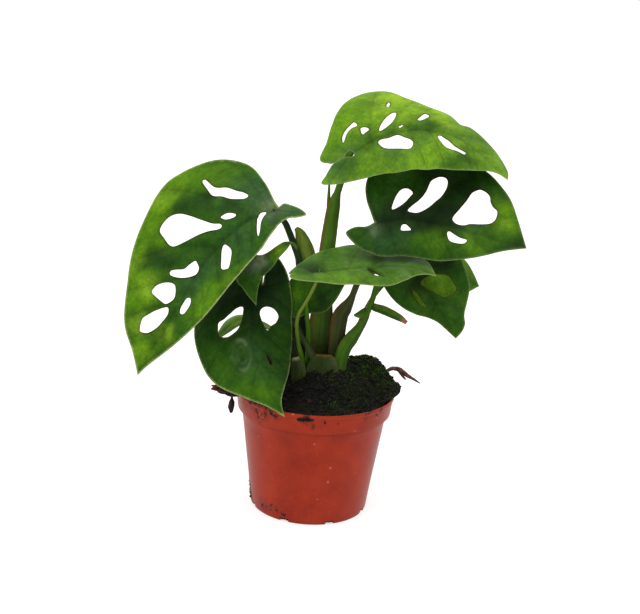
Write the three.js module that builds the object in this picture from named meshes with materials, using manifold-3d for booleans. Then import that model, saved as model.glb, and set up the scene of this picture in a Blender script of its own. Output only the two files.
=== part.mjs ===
// A young monstera adansonii in a 12 cm nursery pot, in millimetres, +Z up.
// The origin is the centre of the pot's base. The plant's open side faces -Y.
// Each leaf is a thin blade, cut flat with its holes and then bent along its midrib,
// and a petiole with a winged sheath that stands in a hole in the soil.
import * as THREE from "three";
import { mergeVertices } from "three/addons/utils/BufferGeometryUtils.js";
import Module from "manifold-3d";

const wasm = await Module();
wasm.setup();

// Driving dimensions.
const POT = { rimRadius: 60, height: 92, baseRadius: 44.5, wall: 1.4, floor: 2, sides: 64 };
const RIM_BAND = { height: 15, step: 3.2, lean: 2.2, lipHeight: 3 };
const DRAIN = { count: 8, width: 7, height: 2.8, depth: 9 };
const SOIL = {
  level: 87, radius: 56, sectors: 45, rings: 8,
  heaps: [
    { at: [40, 34], rise: 19, spread: 16 },
    { at: [60, -2], rise: 9, spread: 13 },
    { at: [4, 16], rise: 9, spread: 20 },
    { at: [5, 3], rise: 19, spread: 18 },
    { at: [-34, 29], rise: 21, spread: 10 },
  ],
  spills: [{ towards: 8, reach: 9, spread: 16 }, { towards: 38, reach: 4, spread: 12 }],
};
const GAP = 0.3; // between pieces that touch
const BLADE = { thickness: 0.8, meshSize: 9, edgeStep: 6, holeStep: 4.8, clearOfEdge: 3.7 };
const STALK_STEP = 9;

// --- Vectors and closed meshes ---------------------------------------------------------

const vector = ([x, y, z]) => new THREE.Vector3(x, y, z);
const mix = (a, b, t) => a + (b - a) * t;
const bell = (distance, spread) => Math.exp(-0.5 * (distance / spread) ** 2);

function signedVolume(points, triangles) {
  let volume = 0;
  for (const [a, b, c] of triangles) {
    const normal = new THREE.Vector3().crossVectors(points[b], points[c]);
    volume += points[a].dot(normal) / 6;
  }
  return volume;
}

// A manifold solid of points and triangles, turned inside out where its faces point in.
function solidOf(points, triangles) {
  const inward = signedVolume(points, triangles) < 0;
  const faces = inward ? triangles.map(([a, b, c]) => [a, c, b]) : triangles;
  return new wasm.Manifold(new wasm.Mesh({
    numProp: 3,
    vertProperties: new Float32Array(points.flatMap((p) => [p.x, p.y, p.z])),
    triVerts: new Uint32Array(faces.flat()),
  }));
}

function solidOfGeometry(geometry) {
  const bare = geometry.clone();
  bare.deleteAttribute("normal");
  bare.deleteAttribute("uv");
  const merged = mergeVertices(bare);
  return new wasm.Manifold(new wasm.Mesh({
    numProp: 3,
    vertProperties: new Float32Array(merged.attributes.position.array),
    triVerts: new Uint32Array(merged.index.array),
  }));
}

function geometryOf(solid) {
  const { vertProperties, triVerts } = solid.getMesh();
  const geometry = new THREE.BufferGeometry();
  geometry.setAttribute("position", new THREE.BufferAttribute(vertProperties, 3));
  geometry.setIndex(new THREE.BufferAttribute(triVerts, 1));
  geometry.computeVertexNormals();
  return geometry;
}

function largestPiece(solid) {
  const pieces = solid.decompose();
  return pieces.reduce((best, piece) => (piece.volume() > best.volume() ? piece : best));
}

// Rings of equal length, joined one to the next and closed at both ends.
function skin(rings) {
  const sides = rings[0].length;
  const points = rings.flat();
  const triangles = [];
  for (let ring = 0; ring < rings.length - 1; ring += 1) {
    for (let side = 0; side < sides; side += 1) {
      const next = (side + 1) % sides;
      const [a, b] = [ring * sides + side, ring * sides + next];
      triangles.push([a, b, b + sides], [a, b + sides, a + sides]);
    }
  }
  for (const ring of [0, rings.length - 1]) {
    const centre = new THREE.Vector3();
    rings[ring].forEach((p) => centre.addScaledVector(p, 1 / sides));
    points.push(centre);
    for (let side = 0; side < sides; side += 1) {
      const [a, b] = [ring * sides + side, ring * sides + ((side + 1) % sides)];
      triangles.push(ring === 0 ? [b, a, points.length - 1] : [a, b, points.length - 1]);
    }
  }
  return solidOf(points, triangles);
}

// --- Flat outlines and their triangles -------------------------------------------------

// Points along a smooth open or closed line, about one step apart.
function smoothLine(controls, closed) {
  const curve = new THREE.CatmullRomCurve3(controls.map(([u, v]) => vector([u, v, 0])), closed, "catmullrom");
  const step = closed ? BLADE.holeStep : BLADE.edgeStep;
  const count = Math.max(6, Math.round(curve.getLength() / step));
  const points = curve.getSpacedPoints(count);
  return (closed ? points.slice(0, -1) : points).map((p) => [p.x, p.y]);
}

function leafOutline({ left, right }, length) {
  const tip = [length, 0];
  const leftEdge = smoothLine([...left, tip], false);
  const rightEdge = smoothLine([left[0], ...right, tip], false);
  return [...leftEdge, ...rightEdge.reverse().slice(1, -1)];
}

function inside([x, y], polygon) {
  let within = false;
  polygon.forEach(([x1, y1], k) => {
    const [x2, y2] = polygon[(k + 1) % polygon.length];
    const crosses = y1 > y !== y2 > y;
    if (crosses && x < x1 + ((y - y1) * (x2 - x1)) / (y2 - y1)) within = !within;
  });
  return within;
}

// A polygon with every point moved outwards by an amount, or inwards if it is negative.
function grown(polygon, amount) {
  const last = polygon.length - 1;
  const neighbours = polygon.map((_, k) =>
    [polygon[k === 0 ? last : k - 1], polygon[k === last ? 0 : k + 1]]);
  const area = polygon.reduce((sum, [x, y], k) => sum + x * neighbours[k][1][1] - y * neighbours[k][1][0], 0);
  return polygon.map(([x, y], k) => {
    const [[x1, y1], [x2, y2]] = neighbours[k];
    const shift = (amount * Math.sign(area)) / Math.hypot(x2 - x1, y2 - y1);
    return [x + (y2 - y1) * shift, y - (x2 - x1) * shift];
  });
}

// Points on a triangular grid, kept clear of the edges they would crowd.
function gridPoints(length, halfWidth, edges, accepts) {
  const { meshSize, clearOfEdge } = BLADE;
  const rowHeight = meshSize * Math.sin(Math.PI / 3);
  const points = [];
  for (let row = -Math.ceil(halfWidth / rowHeight); row * rowHeight < halfWidth; row += 1) {
    for (let u = -halfWidth + (row % 2 === 0 ? 0 : meshSize / 2); u < length; u += meshSize) {
      const point = [u, row * rowHeight];
      const clear = edges.every(([a, b]) => Math.hypot(a - point[0], b - point[1]) > clearOfEdge);
      if (clear && accepts(point)) points.push(point);
    }
  }
  return points;
}

function circumcircle([ax, ay], [bx, by], [cx, cy]) {
  const d = 2 * (ax * (by - cy) + bx * (cy - ay) + cx * (ay - by));
  const [a2, b2, c2] = [ax * ax + ay * ay, bx * bx + by * by, cx * cx + cy * cy];
  const x = (a2 * (by - cy) + b2 * (cy - ay) + c2 * (ay - by)) / d;
  const y = (a2 * (cx - bx) + b2 * (ax - cx) + c2 * (bx - ax)) / d;
  return { x, y, radius: Math.hypot(ax - x, ay - y) };
}

// Delaunay triangles of flat points, added one at a time inside one large triangle.
function delaunay(flatPoints) {
  const far = 5000;
  const points = [...flatPoints, [-far, -far], [far, -far], [0, far]];
  const first = flatPoints.length;
  const triangle = (...corners) => ({ corners, circle: circumcircle(...corners.map((k) => points[k])) });
  let triangles = [triangle(first, first + 1, first + 2)];
  flatPoints.forEach(([x, y], index) => {
    const edges = new Map();
    triangles = triangles.filter(({ corners, circle }) => {
      if (Math.hypot(x - circle.x, y - circle.y) > circle.radius) return true;
      corners.forEach((from, k) => {
        const to = corners[(k + 1) % 3];
        const twin = `${to},${from}`;
        if (edges.has(twin)) edges.delete(twin);
        else edges.set(`${from},${to}`, [from, to]);
      });
      return false;
    });
    for (const [from, to] of edges.values()) triangles.push(triangle(from, to, index));
  });
  return triangles.map(({ corners }) => corners).filter((corners) => corners.every((k) => k < first));
}

// --- Leaves ----------------------------------------------------------------------------

// The bent surface of a leaf. u runs along the midrib in mm, from the petiole to the tip,
// and v across it, with the leaf's left half at v > 0. Each half leaves the midrib at its
// fold angle, and turns on by its curl angle over the leaf's width.
class LeafSurface {
  constructor({ midrib, face, fold, foldTip = fold, curl, width, wave = 0 }) {
    this.curve = new THREE.CatmullRomCurve3(midrib.map(vector), false, "catmullrom");
    this.length = this.curve.getLength();
    this.face = face.map((direction) => vector(direction).normalize());
    this.fold = [fold, foldTip];
    this.curl = curl;
    this.width = width;
    this.wave = wave;
  }

  spine(u) {
    const at = (x) => this.curve.getPointAt(THREE.MathUtils.clamp(x / this.length, 0, 1));
    const onRib = THREE.MathUtils.clamp(u, 0, this.length);
    const along = at(onRib + 2).sub(at(onRib - 2)).normalize();
    const up = this.face[0].clone().lerp(this.face[1], onRib / this.length);
    up.addScaledVector(along, -up.dot(along)).normalize();
    const point = at(onRib).addScaledVector(along, Math.min(u, 0));
    return { point, up, side: new THREE.Vector3().crossVectors(up, along) };
  }

  point(u, v) {
    const { point, up, side } = this.spine(u);
    const half = v < 0 ? 1 : 0;
    const along = THREE.MathUtils.clamp(u / this.length, 0, 1);
    const start = THREE.MathUtils.degToRad(mix(this.fold[0][half], this.fold[1][half], along));
    const turn = THREE.MathUtils.degToRad(this.curl[half] || 0.001) / this.width;
    const across = Math.abs(v);
    const reach = (Math.sin(start + turn * across) - Math.sin(start)) / turn;
    const rise = (Math.cos(start) - Math.cos(start + turn * across)) / turn;
    const ripple = this.wave * Math.sin(6 * Math.PI * along + half * 1.7) * (across / this.width) ** 2;
    return point.addScaledVector(side, v < 0 ? -reach : reach).addScaledVector(up, rise + ripple);
  }

  normal(u, v) {
    const alongStep = this.point(u + 0.5, v).sub(this.point(u - 0.5, v));
    const acrossStep = this.point(u, v + 0.5).sub(this.point(u, v - 0.5));
    return alongStep.cross(acrossStep).normalize();
  }
}

// A blade's solid: the same flat triangles on both faces, with a wall along each edge.
// A swollen blade is the room that its neighbours leave it.
function bladeSolid(leaf, swell) {
  const thickness = BLADE.thickness + 2 * swell;
  const surface = new LeafSurface(leaf);
  const outline = grown(leafOutline(leaf, surface.length), swell);
  const holes = leaf.holes.map((hole) => grown(smoothLine(hole, true), -swell));
  const onBlade = (point) => inside(point, outline) && !holes.some((hole) => inside(point, hole));
  const edges = [...outline, ...holes.flat()];
  const flatPoints = [...edges, ...gridPoints(surface.length, leaf.width * 1.5, edges, onBlade)];
  const faces = delaunay(flatPoints).filter((corners) => {
    const centre = [0, 1].map((axis) => corners.reduce((sum, k) => sum + flatPoints[k][axis] / 3, 0));
    return onBlade(centre);
  });
  const shifted = (offset) => flatPoints.map(([u, v]) =>
    surface.point(u, v).addScaledVector(surface.normal(u, v), offset));
  const points = [...shifted(thickness / 2), ...shifted(-thickness / 2)];
  const below = flatPoints.length;
  const triangles = faces.flatMap(([a, b, c]) => [[a, b, c], [a + below, c + below, b + below]]);
  const directed = new Set(faces.flatMap(([a, b, c]) => [`${a},${b}`, `${b},${c}`, `${c},${a}`]));
  for (const edge of directed) {
    const [a, b] = edge.split(",").map(Number);
    if (!directed.has(`${b},${a}`)) triangles.push([b, a, a + below], [b, a + below, b + below]);
  }
  return solidOf(points, triangles);
}

// Outlines start in the notch where the petiole joins and run down each half to the tip.
const LEAVES = {
  left: {
    midrib: [[-35, 2, 226], [-60, -4, 215], [-85, -14, 187], [-103, -28, 154], [-127, -46, 109]],
    face: [[-0.05, -0.8, 0.55], [-0.1, -0.95, 0.2]],
    fold: [28, -5], curl: [15, -5], width: 50, wave: 1,
    left: [[-1, -2], [-6, -3], [-11, 2], [-15, 10], [-16, 18], [-9, 17], [-3, 14], [4, 17], [11, 25],
      [21, 33], [34, 36], [60, 36], [90, 31], [122, 19], [151, 4]],
    right: [[0, -8], [1, -24], [6, -38], [14, -49], [24, -60], [36, -65], [50, -65], [84, -53], [120, -37],
      [136, -27], [149, -12]],
    holes: [
      [[31, -47.5], [29.5, -48], [29, -44.5], [28.5, -39], [27, -35.5], [24, -32], [21, -26], [18, -22],
        [16.5, -18.5], [19.5, -17.5], [25, -22], [28, -28], [31.5, -33], [31.5, -40.5]],
      [[36.5, -15], [32.5, -14.5], [29.5, -12], [28, -9], [30.5, -8.5], [35, -11]],
      [[67.5, -43.5], [61.5, -45], [56.5, -43.5], [52.5, -39.5], [49.5, -32.5], [47, -25], [43.5, -16],
        [40, -11.5], [40.5, -9], [43.5, -9.5], [49, -14], [55.5, -18], [63.5, -22], [69.5, -26], [71, -30],
        [69.5, -37]],
      [[70.5, -7], [70.5, -5.5], [73, -1.5], [77, -0.5], [80, -2], [83.5, -6], [86, -11], [87, -17],
        [84.5, -18.5], [82, -15.5], [79, -10.5], [75, -9]],
      [[104.5, -23], [99, -22.5], [94.5, -19], [92, -14.5], [92, -10.5], [96, -7.5], [101, -6], [106, -8],
        [107.5, -10], [107, -14.5], [106, -19.5]],
      [[110, -8.5], [109, -6], [113, -4], [119, -4.5], [125.5, -6], [131.5, -9.5], [133.5, -14.5],
        [131.5, -16.5], [125, -18.5], [120.5, -16.5], [115, -13]],
      [[10.5, -1.5], [9, -0.5], [12.5, 3], [16, 8.5], [20, 17], [24, 21.5], [23, 17.5], [19, 8], [16, 1],
        [13, -1.5]],
      [[48.5, 3], [47.5, 8], [48.5, 13], [53.5, 18], [59.5, 22], [61.5, 21.5], [64, 17], [58.5, 11],
        [52.5, 5]],
      [[96.5, 3], [95.5, 6], [99, 8.5], [104, 8.5], [107.5, 7.5], [108, 4.5], [104.5, 2.5], [99.5, 2.5]],
    ],
  },
  front: {
    midrib: [[-43, -8, 170], [-49, -18, 153], [-47, -36, 132], [-35, -54, 112], [-20, -66, 92]],
    face: [[-0.25, -0.7, 0.7], [-0.2, -0.9, 0.45]],
    fold: [-45, -5], curl: [-25, -10], width: 45, wave: 1,
    left: [[-2, -1], [-12, -3], [-20, -1.5], [-25, 1.5], [-21, 10], [-15, 17], [-6, 24], [3.5, 30.5],
      [20, 39], [43.5, 39.5], [66, 30], [83.5, 16], [95, 4.5]],
    right: [[-12, -5], [-18, -9], [-16, -19], [-7, -29.5], [8, -38.5], [16, -44.5], [28, -46.5],
      [45, -42], [60, -35], [76, -22], [92, -8]],
    holes: [
      [[17.5, -10], [18.5, -8], [23.5, -7.5], [27.5, -8], [32.5, -10], [35.5, -14], [37, -18.5],
        [36, -23.5], [34, -25.5], [30, -26], [27, -26], [25, -22], [22, -18], [19, -14]],
      [[15, 6.5], [12, 9], [10.5, 13], [11, 18], [14.5, 22], [21, 21.5], [25.5, 17.5], [29, 16], [30.5, 14],
        [28, 11.5], [24, 8.5], [19, 6]],
      [[54.5, 10.5], [55, 12.5], [60, 13.5], [63.5, 12.5], [62.5, 11], [58, 11]],
    ],
  },
  top: {
    midrib: [[14, -4, 270], [34, -2, 283], [62, 0, 290], [92, -4, 285], [126, -14, 261]],
    face: [[-0.2, -0.5, 0.86], [0.4, -0.25, 0.9]],
    fold: [14, -8], foldTip: [4, -8], curl: [-15, -20], width: 45, wave: 0.6,
    left: [[3, 0], [1, 3], [-2, 2.5], [-4, 1.2], [-13.5, 1.2], [-17, 3.5], [-20, 7], [-19.5, 12], [-10, 21],
      [-1, 33], [9, 42], [20, 52], [30, 56], [40, 52], [48, 39], [58, 30], [70, 26], [78, 19], [84, 22],
      [96, 21], [108, 20], [117, 16], [124, 9]],
    right: [[2, -2.5], [-1, -1.5], [-4, 0.6], [-13.5, 0.4], [-17.5, -1.5], [-22, -5], [-28, -9.5],
      [-22, -15], [-12, -20], [4, -26], [24, -33], [45, -36], [68, -37], [90, -33], [104, -21], [114, -8],
      [121, -2]],
    holes: [
      [[0, 12.5], [2, 17.5], [6.5, 21], [11.5, 23], [14.5, 24], [15, 19.5], [11.5, 20], [8, 19],
        [4.5, 16.5], [1.5, 13.5]],
      [[16, 15.5], [19, 14], [20, 11], [17.5, 10], [15, 9.5]],
      [[40, 21.5], [40, 18.5], [37, 12.5], [32.5, 8.5], [27, 6], [26, 7.5], [29.5, 13], [34, 18], [37.5, 21]],
      [[36.5, 31.5], [38, 35], [38.5, 36], [38.5, 32], [37, 29.5]],
      [[39.5, 5.5], [42, 6.5], [42.5, 6], [40, 4]],
      [[52, 11.5], [54, 15.5], [56.5, 19.5], [59, 17.5], [57, 14], [54, 11]],
      [[22, -3.5], [25.5, -2], [29.5, -3], [33.5, -2.5], [37, -2.5], [41.5, -6.5], [45, -9], [47, -12],
        [46, -15.5], [42.5, -17.5], [35.5, -15.5], [26.5, -12], [23, -8.5]],
      [[67, -5.5], [68.5, -3.5], [71.5, -5], [76.5, -7], [81.5, -9.5], [87, -10], [92, -9.5], [92, -12],
        [86.5, -13], [81.5, -14], [76, -14], [70.5, -10]],
    ],
  },
  right: {
    midrib: [[37, -24, 226], [57, -22, 230], [84, -24, 228], [111, -30, 223], [140, -40, 218]],
    face: [[-0.1, -0.55, 0.83], [0.3, -0.6, 0.75]],
    fold: [22, -18], curl: [-5, -30], width: 45, wave: 0.6,
    left: [[-3, 1], [-4, 9], [-5, 20], [-3, 32], [4, 43], [16, 51], [30, 55], [46, 55], [62, 50],
      [74, 42], [85, 32], [95, 18], [103, 6]],
    right: [[-9, -1], [-17, 0], [-24, -3], [-22, -9], [-17, -16], [-10, -21], [-2, -25], [12, -27], [32, -28],
      [50, -27], [66, -22], [80, -15], [93, -7]],
    holes: [
      [[11.5, 9], [13.5, 14], [16, 19.5], [18, 22.5], [20, 23.5], [22, 22.5], [23.5, 20], [22, 17],
        [19.5, 13], [16.5, 10], [12.5, 8]],
      [[21, 6], [23.5, 10], [27, 14], [29.5, 18], [31.5, 23], [32.5, 28], [33.5, 31.5], [36.5, 34.5],
        [39, 35.5], [41.5, 35], [43, 32.5], [43, 27], [41, 20.5], [38, 16], [35, 11.5], [31, 7.5], [26.5, 5]],
      [[51.5, 6], [54.5, 14.5], [57, 22], [58.5, 28.5], [60.5, 31.5], [63, 33.5], [67.5, 32.5], [70.5, 30],
        [72, 26.5], [75, 23], [78.5, 21], [79.5, 17], [79, 13], [76.5, 10], [70.5, 7.5], [64, 5.5],
        [61, 3.5], [57.5, 2.5], [54, 3]],
      [[15.5, -6], [17, -4.5], [19.5, -4.5], [22, -6.5], [23.5, -8.5], [18.5, -9], [15, -8.5]],
      [[50.5, -6], [52, -4.5], [56.5, -6], [61, -7], [65.5, -7], [65, -9.5], [62, -11], [56.5, -11.5],
        [53, -10.5]],
    ],
  },
  middle: {
    midrib: [[-7, -52, 194], [15, -45, 196], [40, -40, 198], [59, -40, 199], [79, -42, 195]],
    face: [[0, -0.14, 0.99], [0.1, -0.14, 0.98]],
    fold: [5, -3], curl: [0, -15], width: 40, wave: 0.6,
    left: [[-12.5, 0.2], [-16.5, 1], [-15.5, 4], [-10, 10], [-5, 15], [9, 26], [24, 34], [40, 35],
      [56, 31], [68, 25], [77, 20], [83, 13]],
    right: [[-16.5, -0.6], [-17, -4.5], [-13.5, -8.5], [-6, -12], [2, -15], [12, -19], [28, -22],
      [45, -25], [58, -25], [68, -18], [76, -8], [83, -2]],
    holes: [
      [[40, -0.5], [41.5, -2], [44.5, -7], [47, -12], [44.5, -12.5], [41, -9.5], [39, -4]],
    ],
  },
  lower: {
    midrib: [[62, 12, 195], [72, 6, 179], [83, 2, 166], [93, -3, 152], [101, -8, 140]],
    face: [[0.1, -0.7, 0.7], [0.2, -0.9, 0.4]],
    fold: [0, -35], curl: [0, -30], width: 40, wave: 0.6,
    left: [[-2, 0], [-8, 4], [-11, 11], [-9, 22], [-2, 33], [10, 39], [22, 40], [30, 37], [42, 31], [52, 21],
      [58, 15], [64, 12], [68, 7]],
    right: [[-4, -3], [-5, -10], [-2, -20], [6, -27], [18, -27], [30, -23], [40, -18], [47, -11], [54, -6],
      [62, -3]],
    holes: [
      [[22, -0.5], [20.5, 4.5], [21.5, 11], [25, 16.5], [30, 21], [35, 21], [39.5, 20], [41, 15], [40, 9],
        [36, 5.5], [30, 2.5], [25.5, 0]],
      [[22.5, -9], [24.5, -7.5], [29.5, -7.5], [35, -8], [38.5, -7.5], [38, -9], [34.5, -10.5],
        [28.5, -10.5]],
    ],
  },
  folded: {
    midrib: [[-24, -6, 205], [-39, -17, 197], [-48, -24, 186], [-49, -27, 174], [-46, -28, 161]],
    face: [[0.1, -0.7, 0.7], [0, -0.95, 0.3]],
    fold: [-30, -20], curl: [-20, -20], width: 20,
    left: [[0, 0.5], [5.5, 3.5], [16, 7], [22, 9], [29, 9.5], [39.5, 7.5], [51.5, 4], [57, 2]],
    right: [[5, -3], [13, -2.5], [18.5, -2], [24, -3.5], [26.5, -8], [29, -15], [35, -16], [44, -14],
      [49, -8.5], [54, -5], [58, -2.5]],
    holes: [],
  },
  back_right: {
    midrib: [[62, 38, 180], [82, 40, 178], [102, 42, 174], [121, 40, 169]],
    face: [[0, -0.7, 0.7], [0.1, -0.7, 0.7]],
    fold: [5, -5], curl: [0, -20], width: 30,
    left: [[-2, 0], [-10, 4], [-10, 14], [0, 22], [14, 27], [30, 26], [44, 18], [54, 8]],
    right: [[-10, -4], [-10, -14], [0, -24], [12, -30], [26, -28], [40, -20], [52, -10]],
    holes: [],
  },
  inner: {
    midrib: [[-13, 3, 152], [-4, 2.5, 160], [8, 1.5, 168.5], [18, 0.5, 176]],
    face: [[0, -0.97, 0.25], [0, -0.97, 0.25]],
    fold: [-6, -6], curl: [0, -10], width: 20,
    left: [[-10, -1], [-6.5, 8], [-2.5, 16], [2, 21], [7.5, 23.5], [14, 19.5], [22, 13.5], [32, 7]],
    right: [[-5.5, -3.5], [1.5, -5.5], [7, -9.5], [13.5, -11.5], [19, -10.5], [25, -8], [31.5, -4.5]],
    holes: [],
  },
  back_left: {
    midrib: [[-26, 14, 128], [-43, 10, 136], [-60, 6, 139], [-78, 0, 124]],
    face: [[0, 0, 1], [-0.3, -0.3, 0.9]],
    fold: [5, -5], curl: [0, -10], width: 20,
    left: [[-1, 0], [-5, 3], [-5, 8], [4, 10], [16, 10], [30, 9.5], [44, 8], [53, 5]],
    right: [[-5, -3], [-4, -10], [4, -13], [16, -14], [30, -14.5], [44, -14], [53, -8]],
    holes: [],
  },
};

// --- Petioles, sheaths and other stalks ------------------------------------------------

// The section across a petiole: a round core, with thin wings that bend forward.
function petioleSection(core, wing, sides) {
  return Array.from({ length: sides }, (_, k) => {
    const angle = (2 * Math.PI * (k + 0.5)) / sides;
    const toWing = Math.cos(angle) ** 4;
    return [
      (mix(core, wing, toWing) * Math.cos(angle)) / Math.cos(Math.PI / sides),
      core * Math.sin(angle) * 0.9 + (wing - core) * toWing * 0.4,
    ];
  });
}

// A stalk follows its path. Each path point is [x, y, z, core radius, wing half-width]:
// the wings are the thin edges of the sheath, left and right of the core.
function stalkSolid({ path, sides = 12, face = [0, -1, 0.15] }, swell) {
  const curve = new THREE.CatmullRomCurve3(path.map(vector), false, "catmullrom");
  const steps = Math.round(curve.getLength() / STALK_STEP) + 3;
  const front = vector(face);
  const rings = [];
  for (let step = 0; step <= steps; step += 1) {
    const along = curve.getTangent(step / steps);
    const overrun = step === 0 ? -swell : step === steps ? swell : 0;
    const centre = curve.getPoint(step / steps).addScaledVector(along, overrun);
    const side = new THREE.Vector3().crossVectors(along, front).normalize();
    const out = new THREE.Vector3().crossVectors(side, along);
    const place = (step / steps) * (path.length - 1);
    const [from, to] = [path[Math.floor(place)], path[Math.min(Math.ceil(place), path.length - 1)]];
    const core = mix(from[3], to[3], place % 1);
    const wing = Math.max(mix(from[4] ?? 0, to[4] ?? 0, place % 1), core);
    const section = grown(petioleSection(core, wing, sides), swell);
    rings.push(section.map(([x, y]) => centre.clone().addScaledVector(side, x).addScaledVector(out, y)));
  }
  return skin(rings);
}

const stalk = (parts, swell = 0) => parts.map((part) => stalkSolid(part, swell)).reduce((a, b) => a.add(b));

// Petioles start in the soil and end at their blade's underside.
const PETIOLES = {
  left: [
    { path: [[-15, 28, 76, 2.6, 4], [-15.5, 28, 102, 3, 6.5], [-15.5, 26, 124, 3, 7],
      [-15.5, 22, 145, 2.8, 6], [-15.3, 17, 166, 2.7, 3.8], [-17.8, 11, 186, 2.6, 3], [-23.8, 6, 203, 2.5],
      [-30.5, 5, 217, 2.3], [-39, 1.5, 226, 2]] },
  ],
  front: [
    { path: [[2, -3, 78, 2.4], [1, -2, 108, 2.6, 4], [-7, -1, 123, 2.2, 2.6], [-13, 1, 132, 2],
      [-20, 6, 143, 1.9], [-28, 6, 153, 1.8], [-36, 2, 161, 1.8], [-43, -7, 167, 1.7]], sides: 10 },
  ],
  top: [
    { path: [[3, 20, 76, 3, 5], [2.6, 20, 103, 3.5, 8.6], [1.4, 16.5, 137, 3.2, 9.2],
      [1.2, 13.5, 155, 3.1, 7.8], [1, 10, 177, 3, 6.2], [3, 6, 209, 2.8, 5.6], [5, 3, 232, 2.6, 4.8],
      [9, 0.5, 250, 2.5], [11.4, 0.6, 262, 2.6], [13, 0.3, 269, 2.8], [19, -1, 273.8, 2.3]] },
    { path: [[2, 4, 215, 0.8, 1.6], [1, 3, 233, 0.7, 1.4], [0.5, 2, 251, 0.4, 0.6]], sides: 8 },
  ],
  right: [
    { path: [[12, 12, 76, 3, 4], [14, 12, 106, 3.3, 6], [14, 11, 130, 3.1, 6], [15, 8.5, 146, 2.9, 6.2],
      [18.5, 6.5, 154, 2.7, 5.2], [22.5, 4.5, 162.5, 2.4, 2.8], [27, 2.5, 177, 2.4], [32.6, 1, 182, 2.4, 3.6],
      [36.6, -1, 188, 2.4, 3.8], [38, -3, 196, 2.3, 2.8], [38.4, -4.2, 205, 2.2], [39.6, -11, 214, 2.1],
      [42, -23, 227, 2]] },
  ],
  middle: [
    { path: [[-10, 0, 80, 1.8], [-10, 0, 108, 2, 2.8], [-15, -8, 131, 1.5], [-16, -18, 151, 1.3],
      [-9, -32, 170, 1.2], [-4, -46, 186, 1.2], [-2, -51, 196, 1.2]], sides: 8 },
  ],
  lower: [
    { path: [[17, 3, 78, 3], [17, 3, 106, 3.2, 5], [19.5, 3.5, 122, 3, 5.2], [24.5, 5.5, 131, 2.8, 5.2],
      [30, 8, 139, 2.5, 3.6], [34.5, 10.5, 148, 2.3, 2.8], [38.5, 13, 160, 2.1], [41.5, 16, 172, 2.1],
      [47, 19, 182, 2], [54, 20, 188, 2], [61, 18, 192, 2], [64, 14, 194.5, 2]] },
    { path: [[34.5, 10.8, 150.5, 1, 4.2], [31, 9, 149.5, 0.9, 3.6], [28, 7.5, 149, 0.7, 2.2],
      [25.4, 6.5, 148.8, 0.4, 0.8]], sides: 8 },
  ],
  folded: [
    { path: [[-20, 7.5, 196, 1.3], [-21, 3, 199.5, 1.2], [-23, -2, 202.5, 1.1],
      [-26, -8, 204.5, 1]], sides: 8 },
  ],
  back_right: [
    { path: [[18, 18, 78, 2.2], [19, 20, 106, 2.2], [28, 28, 128, 2], [37, 34, 151, 1.7],
      [48, 38, 167, 1.6], [58, 38, 177, 1.6], [67, 37, 182, 1.5]], sides: 8 },
  ],
  inner: [
    { path: [[-8, 9, 80, 1.8], [-7.4, 8, 109, 2], [-7.3, 5.5, 123, 2], [-7.8, 2, 136, 1.9],
      [-9.2, -1.5, 146, 1.7], [-10, -2, 154, 1.5], [-9.5, 0, 159, 1.3]], sides: 8 },
  ],
  back_left: [
    { path: [[-14, 17, 80, 1.8], [-13, 17, 103, 2], [-19, 17, 116, 1.7], [-25, 16, 124, 1.5],
      [-33, 13, 132, 1.4]], sides: 8 },
  ],
};

const FURLED_LEAF = [
  { path: [[-7, 18, 168, 2], [-9.5, 16.5, 178, 3, 4.4], [-12.2, 16, 192, 3.4, 5.7],
    [-16.6, 14.5, 202, 3.3, 5.2], [-19, 13.5, 207.5, 2.6, 3.6], [-21.8, 12.5, 211, 1, 1.6]] },
];
const CATAPHYLL = [
  { path: [[37, 14, 156, 0.9, 1.8], [41, 10, 155, 0.9, 3], [47, 8, 154, 0.8, 3.4], [54, 7, 151.5, 0.8, 3.2],
    [60, 6, 149, 0.8, 2.6], [65, 5, 146, 0.5, 1.4]], sides: 8 },
];
const OLD_SHEATHS = {
  old_sheath_left: [
    { path: [[-12, -8, 84, 1, 4.6], [-13, -8.5, 105, 1, 5.8], [-14.8, -9, 113, 0.8, 4.8],
      [-16.2, -9.5, 118, 0.5, 2.2]], sides: 8, face: [0, 1, -0.15] },
  ],
  old_sheath_front: [
    { path: [[4, -8, 84, 1.4, 12], [4.5, -8.5, 104, 1.5, 12.5], [4.8, -8.4, 112, 1.3, 11.5],
      [5, -8, 118, 1, 8.5], [5, -7.6, 121, 0.6, 5]], sides: 16, face: [0, 1, -0.15] },
  ],
};

// --- Pot, soil and what lies on it ------------------------------------------------------

function potSolid() {
  const { rimRadius, height, baseRadius, wall, floor } = POT;
  const bandFoot = height - RIM_BAND.height;
  const shoulder = rimRadius - RIM_BAND.step - RIM_BAND.lean;
  const profile = [
    [0, 0], [baseRadius - 1, 0], [baseRadius, 1],
    [shoulder, bandFoot - 0.8], [shoulder + RIM_BAND.step, bandFoot],
    [rimRadius - 0.8, height - RIM_BAND.lipHeight], [rimRadius, height - RIM_BAND.lipHeight + 0.6],
    [rimRadius, height - 0.6], [rimRadius - 0.6, height], [rimRadius - wall, height],
    [shoulder + RIM_BAND.step - wall, bandFoot + 2], [shoulder - wall, bandFoot - 1],
    [baseRadius - wall + 0.2, floor], [0, floor],
  ];
  const turned = new THREE.LatheGeometry(profile.map(([r, z]) => new THREE.Vector2(r, z)), POT.sides);
  turned.rotateX(Math.PI / 2);
  let pot = solidOfGeometry(turned);
  for (let k = 0; k < DRAIN.count; k += 1) {
    const notch = new THREE.BoxGeometry(DRAIN.depth, DRAIN.width, DRAIN.height * 2);
    notch.translate(baseRadius, 0, 0);
    notch.rotateZ((2 * Math.PI * (k + 0.5)) / DRAIN.count);
    pot = pot.subtract(solidOfGeometry(notch));
  }
  return pot;
}

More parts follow.
